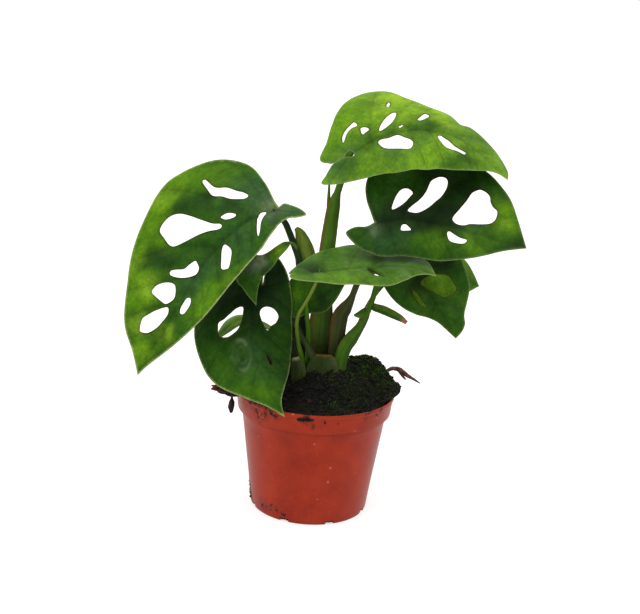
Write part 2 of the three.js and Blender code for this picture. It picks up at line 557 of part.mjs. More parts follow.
// Height of the soil: low along the front rim, heaped round the stems, at the right and behind.
function soilHeight(x, y) {
  const heaps = SOIL.heaps.reduce((sum, { at, rise, spread }) =>
    sum + rise * bell(Math.hypot(x - at[0], y - at[1]), spread), 0);
  const lumps = Math.sin(x * 0.55 + y * 0.2) * Math.cos(y * 0.5 - x * 0.13);
  const crumbs = Math.sin(x * 0.9 - y * 1.1);
  return SOIL.level + heaps + 0.8 * lumps + 0.48 * crumbs;
}

// The soil's outer radius: inside the rim, but spilling over it at the right.
function soilReach(angle) {
  const spill = SOIL.spills.reduce((sum, { towards, reach, spread }) =>
    sum + reach * bell(THREE.MathUtils.radToDeg(angle) - towards, spread), 0);
  return SOIL.radius + spill;
}

function soilSolid() {
  const overRim = POT.height + GAP + 0.1;
  const ring = (radiusAt, heightAt) => Array.from({ length: SOIL.sectors }, (_, k) => {
    const angle = (2 * Math.PI * k) / SOIL.sectors - Math.PI / 2;
    const radius = radiusAt(angle);
    const [x, y] = [radius * Math.cos(angle), radius * Math.sin(angle)];
    return new THREE.Vector3(x, y, heightAt(x, y, radius, soilReach(angle) > SOIL.radius + 1));
  });
  const foot = POT.floor + GAP;
  const rings = [
    ring(() => POT.baseRadius - POT.wall - 1, () => foot),
    ring(() => SOIL.radius - 5, () => SOIL.level - 12),
    ring(() => SOIL.radius - 0.4, (x, y, radius, spilt) => (spilt ? overRim : soilHeight(x, y) - 2.5)),
    ring(soilReach, (x, y, radius, spilt) => (spilt ? overRim : soilHeight(x, y) - 1.5)),
  ];
  for (let k = 0; k < SOIL.rings; k += 1) {
    const share = 0.97 - k / SOIL.rings;
    rings.push(ring((angle) => soilReach(angle) * share, (x, y, radius, spilt) =>
      Math.max(soilHeight(x, y), spilt && radius > SOIL.radius ? overRim + 1.2 : 0)));
  }
  return skin(rings);
}

// A rough lump: a stretched ball whose surface is pushed in and out by a fixed pattern.
function lumpSolid({ centre, size, turn, rough }) {
  const ball = new THREE.IcosahedronGeometry(1, 3);
  const merged = mergeVertices(ball.deleteAttribute("normal").deleteAttribute("uv"));
  const position = merged.attributes.position;
  const rotation = new THREE.Euler(...turn.map(THREE.MathUtils.degToRad));
  for (let k = 0; k < position.count; k += 1) {
    const p = new THREE.Vector3().fromBufferAttribute(position, k);
    const bumps = Math.sin(5 * p.x + 3 * p.z) * Math.cos(4 * p.y - 2 * p.x);
    const ripples = 0.5 * Math.sin(9 * p.z + 7 * p.y);
    p.multiplyScalar(1 + rough * (bumps + ripples)).multiply(vector(size)).applyEuler(rotation).add(vector(centre));
    position.setXYZ(k, p.x, p.y, p.z);
  }
  return solidOfGeometry(merged);
}

const BARK_CHIP = { centre: [-62, -22, 94.8], size: [13.5, 7, 3.8], turn: [6, 8, 6], rough: 0.18 };
const HANGING_FIBRE = [
  { path: [[-60.8, -22, 95, 1.4], [-60.8, -23, 89, 0.7], [-60.8, -23, 84.5, 2.2], [-61, -23, 80.5, 2.4],
    [-61, -23, 76.5, 1]], sides: 8 },
];
const TWIG = [
  { path: [[48, 29, 92, 1.2], [56, 27, 101, 1.4], [61, 25, 103, 1.8], [65, 22, 102.5, 2], [70, 19, 100, 1.5],
    [75, 17, 98, 1], [80, 14, 96, 0.4]], sides: 8 },
  { path: [[63, 24, 103, 1.4], [66, 21, 99.5, 1.2], [69, 19, 96.5, 0.5]], sides: 8 },
];

// --- Assembly ----------------------------------------------------------------------------

const colour = {
  terracotta: 0xa03a2a, peat: 0x15120e, bark: 0x2c1a14, twig: 0x5a3b30, sheath: 0x6b6a3c,
  lightBlade: 0x4f8a23, darkBlade: 0x1f4a17, petiole: 0x47702a,
};
const LIGHT_LEAVES = ["left", "top", "back_right", "back_left"];
const plant = new THREE.Group();

function addPiece(name, solid, hue, roughness) {
  const material = new THREE.MeshStandardMaterial({ color: hue, roughness, metalness: 0 });
  const mesh = new THREE.Mesh(geometryOf(solid), material);
  mesh.name = name;
  plant.add(mesh);
}

// Each later piece is cut clear of the earlier ones by the gap that touching pieces keep.
let taken = [];
function clearOf(solid, others) {
  return largestPiece(others.reduce((left, other) => left.subtract(other), solid));
}

for (const [name, leaf] of Object.entries(LEAVES)) {
  const hue = LIGHT_LEAVES.includes(name) ? colour.lightBlade : colour.darkBlade;
  addPiece(`${name}_blade`, bladeSolid(leaf, 0), hue, 0.45);
  taken.push(bladeSolid(leaf, GAP));
}

const STALKS = {
  ...Object.fromEntries(Object.entries(PETIOLES).map(([name, parts]) => [`${name}_petiole`, parts])),
  furled_leaf: FURLED_LEAF,
  cataphyll: CATAPHYLL,
  ...OLD_SHEATHS,
};
const planted = [];
for (const [name, parts] of Object.entries(STALKS)) {
  addPiece(name, clearOf(stalk(parts), taken), name.startsWith("old") ? colour.sheath : colour.petiole, 0.5);
  planted.push(stalk(parts, GAP));
  taken = [...taken, planted.at(-1)];
}

const pot = potSolid();
const twig = stalk(TWIG);
planted.push(stalk(TWIG, GAP));
const soil = clearOf(soilSolid(), planted);
addPiece("soil", soil, colour.peat, 1);
addPiece("pot", pot, colour.terracotta, 0.55);
addPiece("twig", twig, colour.twig, 0.9);
const chip = lumpSolid(BARK_CHIP).add(stalk(HANGING_FIBRE));
addPiece("bark_chip", clearOf(chip, [...taken, pot, soil]), colour.bark, 1);

export default plant;
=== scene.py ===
# The visible surfaces of a young monstera adansonii in a 12 cm nursery pot.
# Sizes are in millimetres, and MM turns them into Blender's metres. The plant faces -y.
# Leaves and stalks follow the same curves as the solids that they stand for.
import math
import random

import bmesh
import bpy
import numpy as np
from mathutils import Matrix, Vector, noise
from mathutils.geometry import delaunay_2d_cdt


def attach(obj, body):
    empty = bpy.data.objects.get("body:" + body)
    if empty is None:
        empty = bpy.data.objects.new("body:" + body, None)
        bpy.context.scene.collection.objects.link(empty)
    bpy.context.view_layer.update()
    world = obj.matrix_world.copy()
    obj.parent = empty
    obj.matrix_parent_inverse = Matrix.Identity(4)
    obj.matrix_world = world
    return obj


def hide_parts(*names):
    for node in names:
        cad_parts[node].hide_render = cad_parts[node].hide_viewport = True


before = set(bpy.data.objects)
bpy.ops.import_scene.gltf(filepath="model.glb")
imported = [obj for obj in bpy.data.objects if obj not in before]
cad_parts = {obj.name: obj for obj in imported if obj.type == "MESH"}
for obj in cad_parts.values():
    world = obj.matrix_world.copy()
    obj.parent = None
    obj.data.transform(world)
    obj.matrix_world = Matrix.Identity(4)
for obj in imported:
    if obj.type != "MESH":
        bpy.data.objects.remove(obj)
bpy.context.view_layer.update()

MM = 0.001
SEED = 7
FAR = 1e9
# Steps of this share of a turn never fall close together.
GOLDEN = 0.618

# --- The photograph's frame and camera --------------------------------------------------------

PHOTO = {"width": 640, "height": 614}
CAMERA = {"place": (-0.36, -838.2, 387.75), "pitch": 15.5, "roll": 3.7, "lens": 66.1, "sensor": 36}
FRONT = (0, -1, 0.15)

# --- Pot, soil and litter ---------------------------------------------------------------------

POT = {"rim_radius": 60, "height": 92, "base_radius": 44.5, "wall": 1.4, "floor": 2, "sides": 192}
RIM_BAND = {"height": 15, "step": 3.2, "lean": 2.2, "lip_height": 3}
DRAIN = {"count": 8, "width": 7, "height": 2.8, "depth": 9}
# Heaps are ((x, y), rise, spread), and spills over the rim (towards degrees, reach, spread).
SOIL = {
    "level": 87, "radius": 56, "sectors": 300, "rings": 96,
    "heaps": [((40, 34), 19, 16), ((60, -2), 9, 13), ((4, 16), 9, 20), ((5, 3), 19, 18),
              ((-34, 29), 21, 10)],
    "spills": [(8, 9, 16), (38, 4, 12)],
}
# The body of the soil: its gaps to the pot's wall and floor, how far inwards and down its rings lie,
# how far its foot and its top lie over the rim where it is spilt, and how wide its innermost ring is.
SOIL_BODY = {"wall_gap": 1, "floor_gap": 0.3, "shoulder": (5, 12), "edge": (0.4, 2.5), "brim": (0, 1.5),
             "over_rim": 0.4, "top_over_rim": 1.6, "middle": 0.012}
# Its roughness as (height, scale, seed), and how much of it is left at the wall, over how many mm.
SOIL_ROUGH = ((0.9, 0.35, 3), (0.7, 0.9, 4), (0.4, 1.9, 5))
ROUGH_AT_WALL = {"left": 0.25, "over": 4}
# Where the soil's surface ends, as a share of its reach, and the steep side of the spilt soil below it.
SOIL_EDGE = 0.985
FLANK = {"rises": (0.3, 0.55, 0.8), "rough": 0.02, "crumbs": 240, "crumb_size": (0.9, 2.6)}
# Loose crumbs, whose stretch is the range of their length, width and height as shares of their size.
CRUMBS = {
    "count": 1700, "smallest": 0.8, "largest": 4.2, "raised": 0.2, "tilt": 0.6, "rough": 0.3,
    "stretch": ((0.7, 1.5), (0.7, 1.2), (0.5, 0.9)), "bark_share": 0.02,
}
# Crumbs that cling to the rim and to the wall's left edge, as (x, y, z, size).
CRUMBS_ON_POT = [
    (-9.5, -59.2, 88.3, 3.4), (-7.2, -59.6, 88.4, 3.2), (-4.6, -60, 88.5, 3.4), (-2.2, -60, 88.4, 2.8),
    (-0.4, -59.8, 88.6, 2), (8.5, -59.4, 87, 1.8), (17.7, -57.4, 86.2, 1.2), (0.2, -59.6, 83, 1),
    (-45.8, -7.5, 17.5, 0.9), (-45.6, -8, 16, 1.3), (-45.3, -8.8, 14.6, 1), (-45.2, -8, 12.8, 1.5),
    (-44.8, -9.4, 11.2, 1.4), (-44.7, -8.6, 9.6, 2.1), (-44.3, -9.8, 8.2, 2), (-44.3, -9, 6.6, 2.4),
    (-43.9, -10.2, 5.2, 2.2), (-43.9, -9.4, 3.8, 1.8),
]
# Dark crumbs in the drain notches, standing in for the shadow inside: which ones hold them, and where they
# lie.
NOTCH_SHADOW_CRUMBS = {
    "notches": (1, 2, 4, 5, 6, 7), "crumbs": 26, "size": 1.7,
    "inset": (1.6, 3.6), "height": (1.1, 1.9), "sideways": 0.42,
}
# Moss within a share of the soil's reach, and bright where it stands higher than the rim, partly as a
# painted highlight. Each leaf is a pyramid, whose depth is a share of its width.
MOSS = {
    "tufts": 2600, "leaves": 6, "length": (0.9, 2.4), "lean": (0.1, 0.9), "width": 0.5, "depth": 0.4,
    "within": 0.97, "sunk": 0.2, "bright_above": 6,
}
# Mossy places as ((x, y), spread, amount).
MOSS_PATCHES = [
    ((40, 30), 17, 1.0), ((56, 6), 12, 0.8), ((20, -24), 12, 0.35), ((-20, 36), 16, 0.5),
    ((30, -8), 12, 0.4),
]
# Paths here and below are rows of (x, y, z, half width), with a half wing where a stalk has one.
HANGING_FIBRE = [
    [(-60.8, -22, 95, 1.4), (-60.8, -23, 89, 0.7), (-60.8, -23, 84.5, 2.2), (-61, -23, 80.5, 2.4),
     (-61, -23, 76.5, 1)],
]
TWIG = [
    [(48, 29, 92, 1.2), (56, 27, 101, 1.4), (61, 25, 103, 1.8), (65, 22, 102.5, 2), (70, 19, 100, 1.5),
     (75, 17, 98, 1), (80, 14, 96, 0.4)],
    [(63, 24, 103, 1.4), (66, 21, 99.5, 1.2), (69, 19, 96.5, 0.5)],
]
BARK_CHIP = {"centre": (-62, -22, 94.8), "size": (13.5, 7, 3.8), "turn": (6, 8, 6), "rough": 0.18}
# Litter by node: its stalks and its lump, its tones (dark, light and worn), and how far in mm its
# left end is worn.
LITTER = {
    "bark_chip": {"paths": HANGING_FIBRE, "lump": BARK_CHIP, "seed": 90,
                  "tones": ("chip_dark", "chip", "chip_worn"), "wear_and_sheen": 7},
    "twig": {"paths": TWIG, "lump": None, "seed": 94,
             "tones": ("twig_dark", "twig", "twig_worn"), "wear_and_sheen": 12},
}
LITTER_SIDES = 20
# The roughness of its stalks as (height, scale).
LITTER_ROUGH = ((0.3, 0.5), (0.15, 1.4))

# --- Leaves -----------------------------------------------------------------------------------

# A blade's points are a mesh apart, and stay clear of its edges by a share of that. Its underside
# takes a share of its own paler colour.
BLADE = {
    "thickness": 0.6, "mesh": 1.25, "clear_of_edge": 0.6, "edge_step": 1.1, "rounding": 0.22,
    "underside": 0.55, "uv_unit": 100, "seed": 10,
}
# Heights in mm of what stands out from a blade or is sunk into it.
RELIEF = {
    "quilt": 0.75, "ripple": 0.35, "rib_groove": 0.45, "vein_groove": 0.25, "rib_under": 1.3,
    "vein_under": 0.4, "ring_mark": 0.5, "pinch": 2.4,
}
# How far from the veins a blade is fully puffed up, and how far from its edges it is level.
PUFF = {"from_veins": 4, "from_edge": 7, "ripple_from_edge": 4}
# How wide in mm the veins' forms and dark lines are, the lines being painted shade in the grooves, and the
# share that they lose from end to end.
VEIN = {
    "rib": 0.8, "rib_under": 1.1, "rib_groove_shade": 0.7, "rib_band": 3, "rib_fade": 0.6,
    "side": 0.6, "side_groove_shade": 0.5, "side_band": 3.2, "side_fade": 0.7, "edge_line": 0.5,
}
# A leaf is its midrib, then its face normal at the base and at the tip, the fold and the curl of its
# left and right half in degrees, and flat outlines as (u along the midrib, v to the left).
LEAVES = {
    "left": {
        "midrib": [(-35, 2, 226), (-60, -4, 215), (-85, -14, 187), (-103, -28, 154), (-127, -46, 109)],
        "face": [(-0.05, -0.8, 0.55), (-0.1, -0.95, 0.2)],
        "fold": (28, -5), "curl": (15, -5), "width": 50, "wave": 1,
        "left": [(-1, -2), (-6, -3), (-11, 2), (-15, 10), (-16, 18), (-9, 17), (-3, 14), (4, 17), (11, 25),
                 (21, 33), (34, 36), (60, 36), (90, 31), (122, 19), (151, 4)],
        "right": [(0, -8), (1, -24), (6, -38), (14, -49), (24, -60), (36, -65), (50, -65), (84, -53),
                  (120, -37), (136, -27), (149, -12)],
        "holes": [
            [(31, -47.5), (29.5, -48), (29, -44.5), (28.5, -39), (27, -35.5), (24, -32), (21, -26),
             (18, -22), (16.5, -18.5), (19.5, -17.5), (25, -22), (28, -28), (31.5, -33), (31.5, -40.5)],
            [(36.5, -15), (32.5, -14.5), (29.5, -12), (28, -9), (30.5, -8.5), (35, -11)],
            [(67.5, -43.5), (61.5, -45), (56.5, -43.5), (52.5, -39.5), (49.5, -32.5), (47, -25),
             (43.5, -16), (40, -11.5), (40.5, -9), (43.5, -9.5), (49, -14), (55.5, -18), (63.5, -22),
             (69.5, -26), (71, -30), (69.5, -37)],
            [(70.5, -7), (70.5, -5.5), (73, -1.5), (77, -0.5), (80, -2), (83.5, -6), (86, -11), (87, -17),
             (84.5, -18.5), (82, -15.5), (79, -10.5), (75, -9)],
            [(104.5, -23), (99, -22.5), (94.5, -19), (92, -14.5), (92, -10.5), (96, -7.5), (101, -6),
             (106, -8), (107.5, -10), (107, -14.5), (106, -19.5)],
            [(110, -8.5), (109, -6), (113, -4), (119, -4.5), (125.5, -6), (131.5, -9.5), (133.5, -14.5),
             (131.5, -16.5), (125, -18.5), (120.5, -16.5), (115, -13)],
            [(10.5, -1.5), (9, -0.5), (12.5, 3), (16, 8.5), (20, 17), (24, 21.5), (23, 17.5), (19, 8),
             (16, 1), (13, -1.5)],
            [(48.5, 3), (47.5, 8), (48.5, 13), (53.5, 18), (59.5, 22), (61.5, 21.5), (64, 17), (58.5, 11),
             (52.5, 5)],
            [(96.5, 3), (95.5, 6), (99, 8.5), (104, 8.5), (107.5, 7.5), (108, 4.5), (104.5, 2.5),
             (99.5, 2.5)],
        ],
    },
    "front": {
        "midrib": [(-43, -8, 170), (-49, -18, 153), (-47, -36, 132), (-35, -54, 112), (-20, -66, 92)],
        "face": [(-0.25, -0.7, 0.7), (-0.2, -0.9, 0.45)],
        "fold": (-45, -5), "curl": (-25, -10), "width": 45, "wave": 1,
        "left": [(-2, -1), (-12, -3), (-20, -1.5), (-25, 1.5), (-21, 10), (-15, 17), (-6, 24), (3.5, 30.5),
                 (20, 39), (43.5, 39.5), (66, 30), (83.5, 16), (95, 4.5)],
        "right": [(-12, -5), (-18, -9), (-16, -19), (-7, -29.5), (8, -38.5), (16, -44.5), (28, -46.5),
                  (45, -42), (60, -35), (76, -22), (92, -8)],
        "holes": [
            [(17.5, -10), (18.5, -8), (23.5, -7.5), (27.5, -8), (32.5, -10), (35.5, -14), (37, -18.5),
             (36, -23.5), (34, -25.5), (30, -26), (27, -26), (25, -22), (22, -18), (19, -14)],
            [(15, 6.5), (12, 9), (10.5, 13), (11, 18), (14.5, 22), (21, 21.5), (25.5, 17.5), (29, 16),
             (30.5, 14), (28, 11.5), (24, 8.5), (19, 6)],
            [(54.5, 10.5), (55, 12.5), (60, 13.5), (63.5, 12.5), (62.5, 11), (58, 11)],
        ],
    },
    "top": {
        "midrib": [(14, -4, 270), (34, -2, 283), (62, 0, 290), (92, -4, 285), (126, -14, 261)],
        "face": [(-0.2, -0.5, 0.86), (0.4, -0.25, 0.9)],
        "fold": (14, -8), "fold_tip": (4, -8), "curl": (-15, -20), "width": 45, "wave": 0.6,
        "left": [(3, 0), (1, 3), (-2, 2.5), (-4, 1.0), (-13.5, 0.9), (-17, 3.5), (-20, 7), (-19.5, 12),
                 (-10, 21), (-1, 33), (9, 42), (20, 52), (30, 56), (40, 52), (48, 39), (58, 30), (70, 26),
                 (78, 19), (84, 22), (96, 21), (108, 20), (117, 16), (124, 9)],
        "right": [(2, -2.5), (-1, -1.5), (-4, 0.8), (-13.5, 0.65), (-17.5, -1.5), (-22, -5), (-28, -9.5),
                  (-22, -15), (-12, -20), (4, -26), (24, -33), (45, -36), (68, -37), (90, -33), (104, -21),
                  (114, -8), (121, -2)],
        "holes": [
            [(0, 12.5), (2, 17.5), (6.5, 21), (11.5, 23), (14.5, 24), (15, 19.5), (11.5, 20), (8, 19),
             (4.5, 16.5), (1.5, 13.5)],
            [(16, 15.5), (19, 14), (20, 11), (17.5, 10), (15, 9.5)],
            [(40, 21.5), (40, 18.5), (37, 12.5), (32.5, 8.5), (27, 6), (26, 7.5), (29.5, 13), (34, 18),
             (37.5, 21)],
            [(36.5, 31.5), (38, 35), (38.5, 36), (38.5, 32), (37, 29.5)],
            [(39.5, 5.5), (42, 6.5), (42.5, 6), (40, 4)],
            [(52, 11.5), (54, 15.5), (56.5, 19.5), (59, 17.5), (57, 14), (54, 11)],
            [(22, -3.5), (25.5, -2), (29.5, -3), (33.5, -2.5), (37, -2.5), (41.5, -6.5), (45, -9),
             (47, -12), (46, -15.5), (42.5, -17.5), (35.5, -15.5), (26.5, -12), (23, -8.5)],
            [(67, -5.5), (68.5, -3.5), (71.5, -5), (76.5, -7), (81.5, -9.5), (87, -10), (92, -9.5),
             (92, -12), (86.5, -13), (81.5, -14), (76, -14), (70.5, -10)],
        ],
    },
    "right": {
        "midrib": [(37, -24, 226), (57, -22, 230), (84, -24, 228), (111, -30, 223), (140, -40, 218)],
        "face": [(-0.1, -0.55, 0.83), (0.3, -0.6, 0.75)],
        "fold": (22, -18), "curl": (-5, -30), "width": 45, "wave": 0.6,
        "left": [(-3, 1), (-4, 9), (-5, 20), (-3, 32), (4, 43), (16, 51), (30, 55), (46, 55), (62, 50),
                 (74, 42), (85, 32), (95, 18), (103, 6)],
        "right": [(-9, -1), (-17, 0), (-24, -3), (-22, -9), (-17, -16), (-10, -21), (-2, -25), (12, -27),
                  (32, -28), (50, -27), (66, -22), (80, -15), (93, -7)],
        "holes": [
            [(11.5, 9), (13.5, 14), (16, 19.5), (18, 22.5), (20, 23.5), (22, 22.5), (23.5, 20), (22, 17),
             (19.5, 13), (16.5, 10), (12.5, 8)],
            [(21, 6), (23.5, 10), (27, 14), (29.5, 18), (31.5, 23), (32.5, 28), (33.5, 31.5), (36.5, 34.5),
             (39, 35.5), (41.5, 35), (43, 32.5), (43, 27), (41, 20.5), (38, 16), (35, 11.5), (31, 7.5),
             (26.5, 5)],
            [(51.5, 6), (54.5, 14.5), (57, 22), (58.5, 28.5), (60.5, 31.5), (63, 33.5), (67.5, 32.5),
             (70.5, 30), (72, 26.5), (75, 23), (78.5, 21), (79.5, 17), (79, 13), (76.5, 10), (70.5, 7.5),
             (64, 5.5), (61, 3.5), (57.5, 2.5), (54, 3)],
            [(15.5, -6), (17, -4.5), (19.5, -4.5), (22, -6.5), (23.5, -8.5), (18.5, -9), (15, -8.5)],
            [(50.5, -6), (52, -4.5), (56.5, -6), (61, -7), (65.5, -7), (65, -9.5), (62, -11), (56.5, -11.5),
             (53, -10.5)],
        ],
    },
    "middle": {
        "midrib": [(-7, -52, 194), (15, -45, 196), (40, -40, 198), (59, -40, 199), (79, -42, 195)],
        "face": [(0, -0.14, 0.99), (0.1, -0.14, 0.98)],
        "fold": (5, -3), "curl": (0, -15), "width": 40, "wave": 0.6,
        "left": [(-12.5, 0.2), (-16.5, 1), (-15.5, 4), (-10, 10), (-5, 15), (9, 26), (24, 34), (40, 35),
                 (56, 31), (68, 25), (77, 20), (83, 13)],
        "right": [(-16.5, -0.6), (-17, -4.5), (-13.5, -8.5), (-6, -12), (2, -15), (12, -19), (28, -22),
                  (45, -25), (58, -25), (68, -18), (76, -8), (83, -2)],
        "holes": [
            [(40, -0.5), (41.5, -2), (44.5, -7), (47, -12), (44.5, -12.5), (41, -9.5), (39, -4)],
        ],
    },
    "lower": {
        "midrib": [(62, 12, 195), (72, 6, 179), (83, 2, 166), (93, -3, 152), (101, -8, 140)],
        "face": [(0.1, -0.7, 0.7), (0.2, -0.9, 0.4)],
        "fold": (0, -35), "curl": (0, -30), "width": 40, "wave": 0.6,
        "left": [(-2, 0), (-8, 4), (-11, 11), (-9, 22), (-2, 33), (10, 39), (22, 40), (30, 37), (42, 31),
                 (52, 21), (58, 15), (64, 12), (68, 7)],
        "right": [(-4, -3), (-5, -10), (-2, -20), (6, -27), (18, -27), (30, -23), (40, -18), (47, -11),
                  (54, -6), (62, -3)],
        "holes": [
            [(22, -0.5), (20.5, 4.5), (21.5, 11), (25, 16.5), (30, 21), (35, 21), (39.5, 20), (41, 15),
             (40, 9), (36, 5.5), (30, 2.5), (25.5, 0)],
            [(22.5, -9), (24.5, -7.5), (29.5, -7.5), (35, -8), (38.5, -7.5), (38, -9), (34.5, -10.5),
             (28.5, -10.5)],
        ],
    },
    "folded": {
        "midrib": [(-24, -6, 205), (-39, -17, 197), (-48, -24, 186), (-49, -27, 174), (-46, -28, 161)],
        "face": [(0.1, -0.7, 0.7), (0, -0.95, 0.3)],
        "fold": (-30, -20), "curl": (-20, -20), "width": 20,
        "left": [(0, 0.5), (5.5, 3.5), (16, 7), (22, 9), (29, 9.5), (39.5, 7.5), (51.5, 4), (57, 2)],
        "right": [(5, -3), (13, -2.5), (18.5, -2), (24, -3.5), (26.5, -8), (29, -15), (35, -16), (44, -14),
                  (49, -8.5), (54, -5), (58, -2.5)],
    },
    "back_right": {
        "midrib": [(62, 38, 180), (82, 40, 178), (102, 42, 174), (121, 40, 169)],
        "face": [(0, -0.7, 0.7), (0.1, -0.7, 0.7)],
        "fold": (5, -5), "curl": (0, -20), "width": 30,
        "left": [(-2, 0), (-10, 4), (-10, 14), (0, 22), (14, 27), (30, 26), (44, 18), (54, 8)],
        "right": [(-10, -4), (-10, -14), (0, -24), (12, -30), (26, -28), (40, -20), (52, -10)],
    },
    "inner": {
        "midrib": [(-13, 3, 152), (-4, 2.5, 160), (8, 1.5, 168.5), (18, 0.5, 176)],
        "face": [(0, -0.97, 0.25), (0, -0.97, 0.25)],
        "fold": (-6, -6), "curl": (0, -10), "width": 20,
        "left": [(-10, -1), (-6.5, 8), (-2.5, 16), (2, 21), (7.5, 23.5), (14, 19.5), (22, 13.5), (32, 7)],
        "right": [(-5.5, -3.5), (1.5, -5.5), (7, -9.5), (13.5, -11.5), (19, -10.5), (25, -8), (31.5, -4.5)],
    },
    "back_left": {
        "midrib": [(-26, 14, 128), (-43, 10, 136), (-60, 6, 139), (-78, 0, 124)],
        "face": [(0, 0, 1), (-0.3, -0.3, 0.9)],
        "fold": (5, -5), "curl": (0, -10), "width": 20,
        "left": [(-1, 0), (-5, 3), (-5, 8), (4, 10), (16, 10), (30, 9.5), (44, 8), (53, 5)],
        "right": [(-5, -3), (-4, -10), (4, -13), (16, -14), (30, -14.5), (44, -14), (53, -8)],
    },
}
# Side veins, each as (start on the midrib, end u, end v).
VEINS = {
    "left": [(1, -12, 12), (2, 8, 20), (20, 42, 35), (34, 58, 35), (56, 84, 31), (74, 104, 26),
             (88, 112, 22), (108, 132, 14), (124, 142, 8), (1, 4, -32), (6, 20, -57), (20, 50, -66),
             (54, 92, -50), (80, 114, -40), (100, 130, -30), (124, 142, -20)],
    "front": [(0, -14, 16), (2, 6, 33), (28, 52, 36), (44, 68, 28), (60, 80, 18), (76, 92, 8),
              (0, -14, -30), (4, 14, -47), (32, 54, -39), (48, 70, -28), (64, 84, -15)],
    "top": [(0, -10, 20), (18, 34, 52), (34, 52, 36), (44, 62, 30), (60, 82, 22), (78, 100, 20),
            (96, 114, 15), (0, -22, -12), (2, -2, -24), (10, 24, -33), (44, 62, -36), (60, 84, -34),
            (88, 104, -20), (94, 108, -16)],
    "right": [(0, -4, 26), (6, 14, 50), (18, 34, 54), (38, 58, 52), (74, 92, 24), (0, -18, -10),
              (6, 8, -27), (28, 46, -27), (44, 60, -24), (66, 84, -13)],
    "middle": [(0, -8, 12), (8, 20, 33), (26, 44, 34), (44, 62, 28), (62, 76, 20), (0, -6, -11),
               (8, 18, -20), (24, 36, -23), (48, 60, -24), (64, 74, -11)],
    "lower": [(0, -8, 18), (4, 10, 38), (16, 30, 37), (40, 56, 18), (52, 64, 9), (0, -4, -16), (6, 14, -28),
              (16, 28, -24), (40, 50, -9)],
    "folded": [(6, 16, 9), (16, 27, 11), (28, 38, 8), (6, 16, -13), (16, 27, -15), (28, 38, -11)],
    "back_right": [(2, 8, 25), (14, 26, 27), (30, 42, 19), (2, 6, -27), (14, 24, -28), (30, 40, -20)],
    "inner": [(4, 12, 16), (14, 22, 14), (4, 12, -14), (14, 22, -11)],
    "back_left": [(4, 12, 15), (18, 28, 13), (4, 12, -14), (18, 28, -12)],
}
# A slit whose far edge is pressed down, as (start, end, the way to that edge) on the blade, how
# wide the dip is in mm, and between which distances beyond the slit it deepens.
# Its dip is also painted dark, as shade.
PINCHED = {"middle": ((41, -1.5), (46.5, -12.5), (0.85, 0.53))}
DIP = {"width": 1.9, "deepens": (-0.3, 0.5)}
# The oval mark of a hole that never opened, as (centre, reach), with lines as shares of that reach.
RING_MARKS = {"front": ((52, -9), (11, 7))}
RING = {"line": 0.1, "drift": 0.16, "inner_gap": 0.45, "inner_line": 0.08, "inner_strength": 0.5}

# --- Stalks -----------------------------------------------------------------------------------

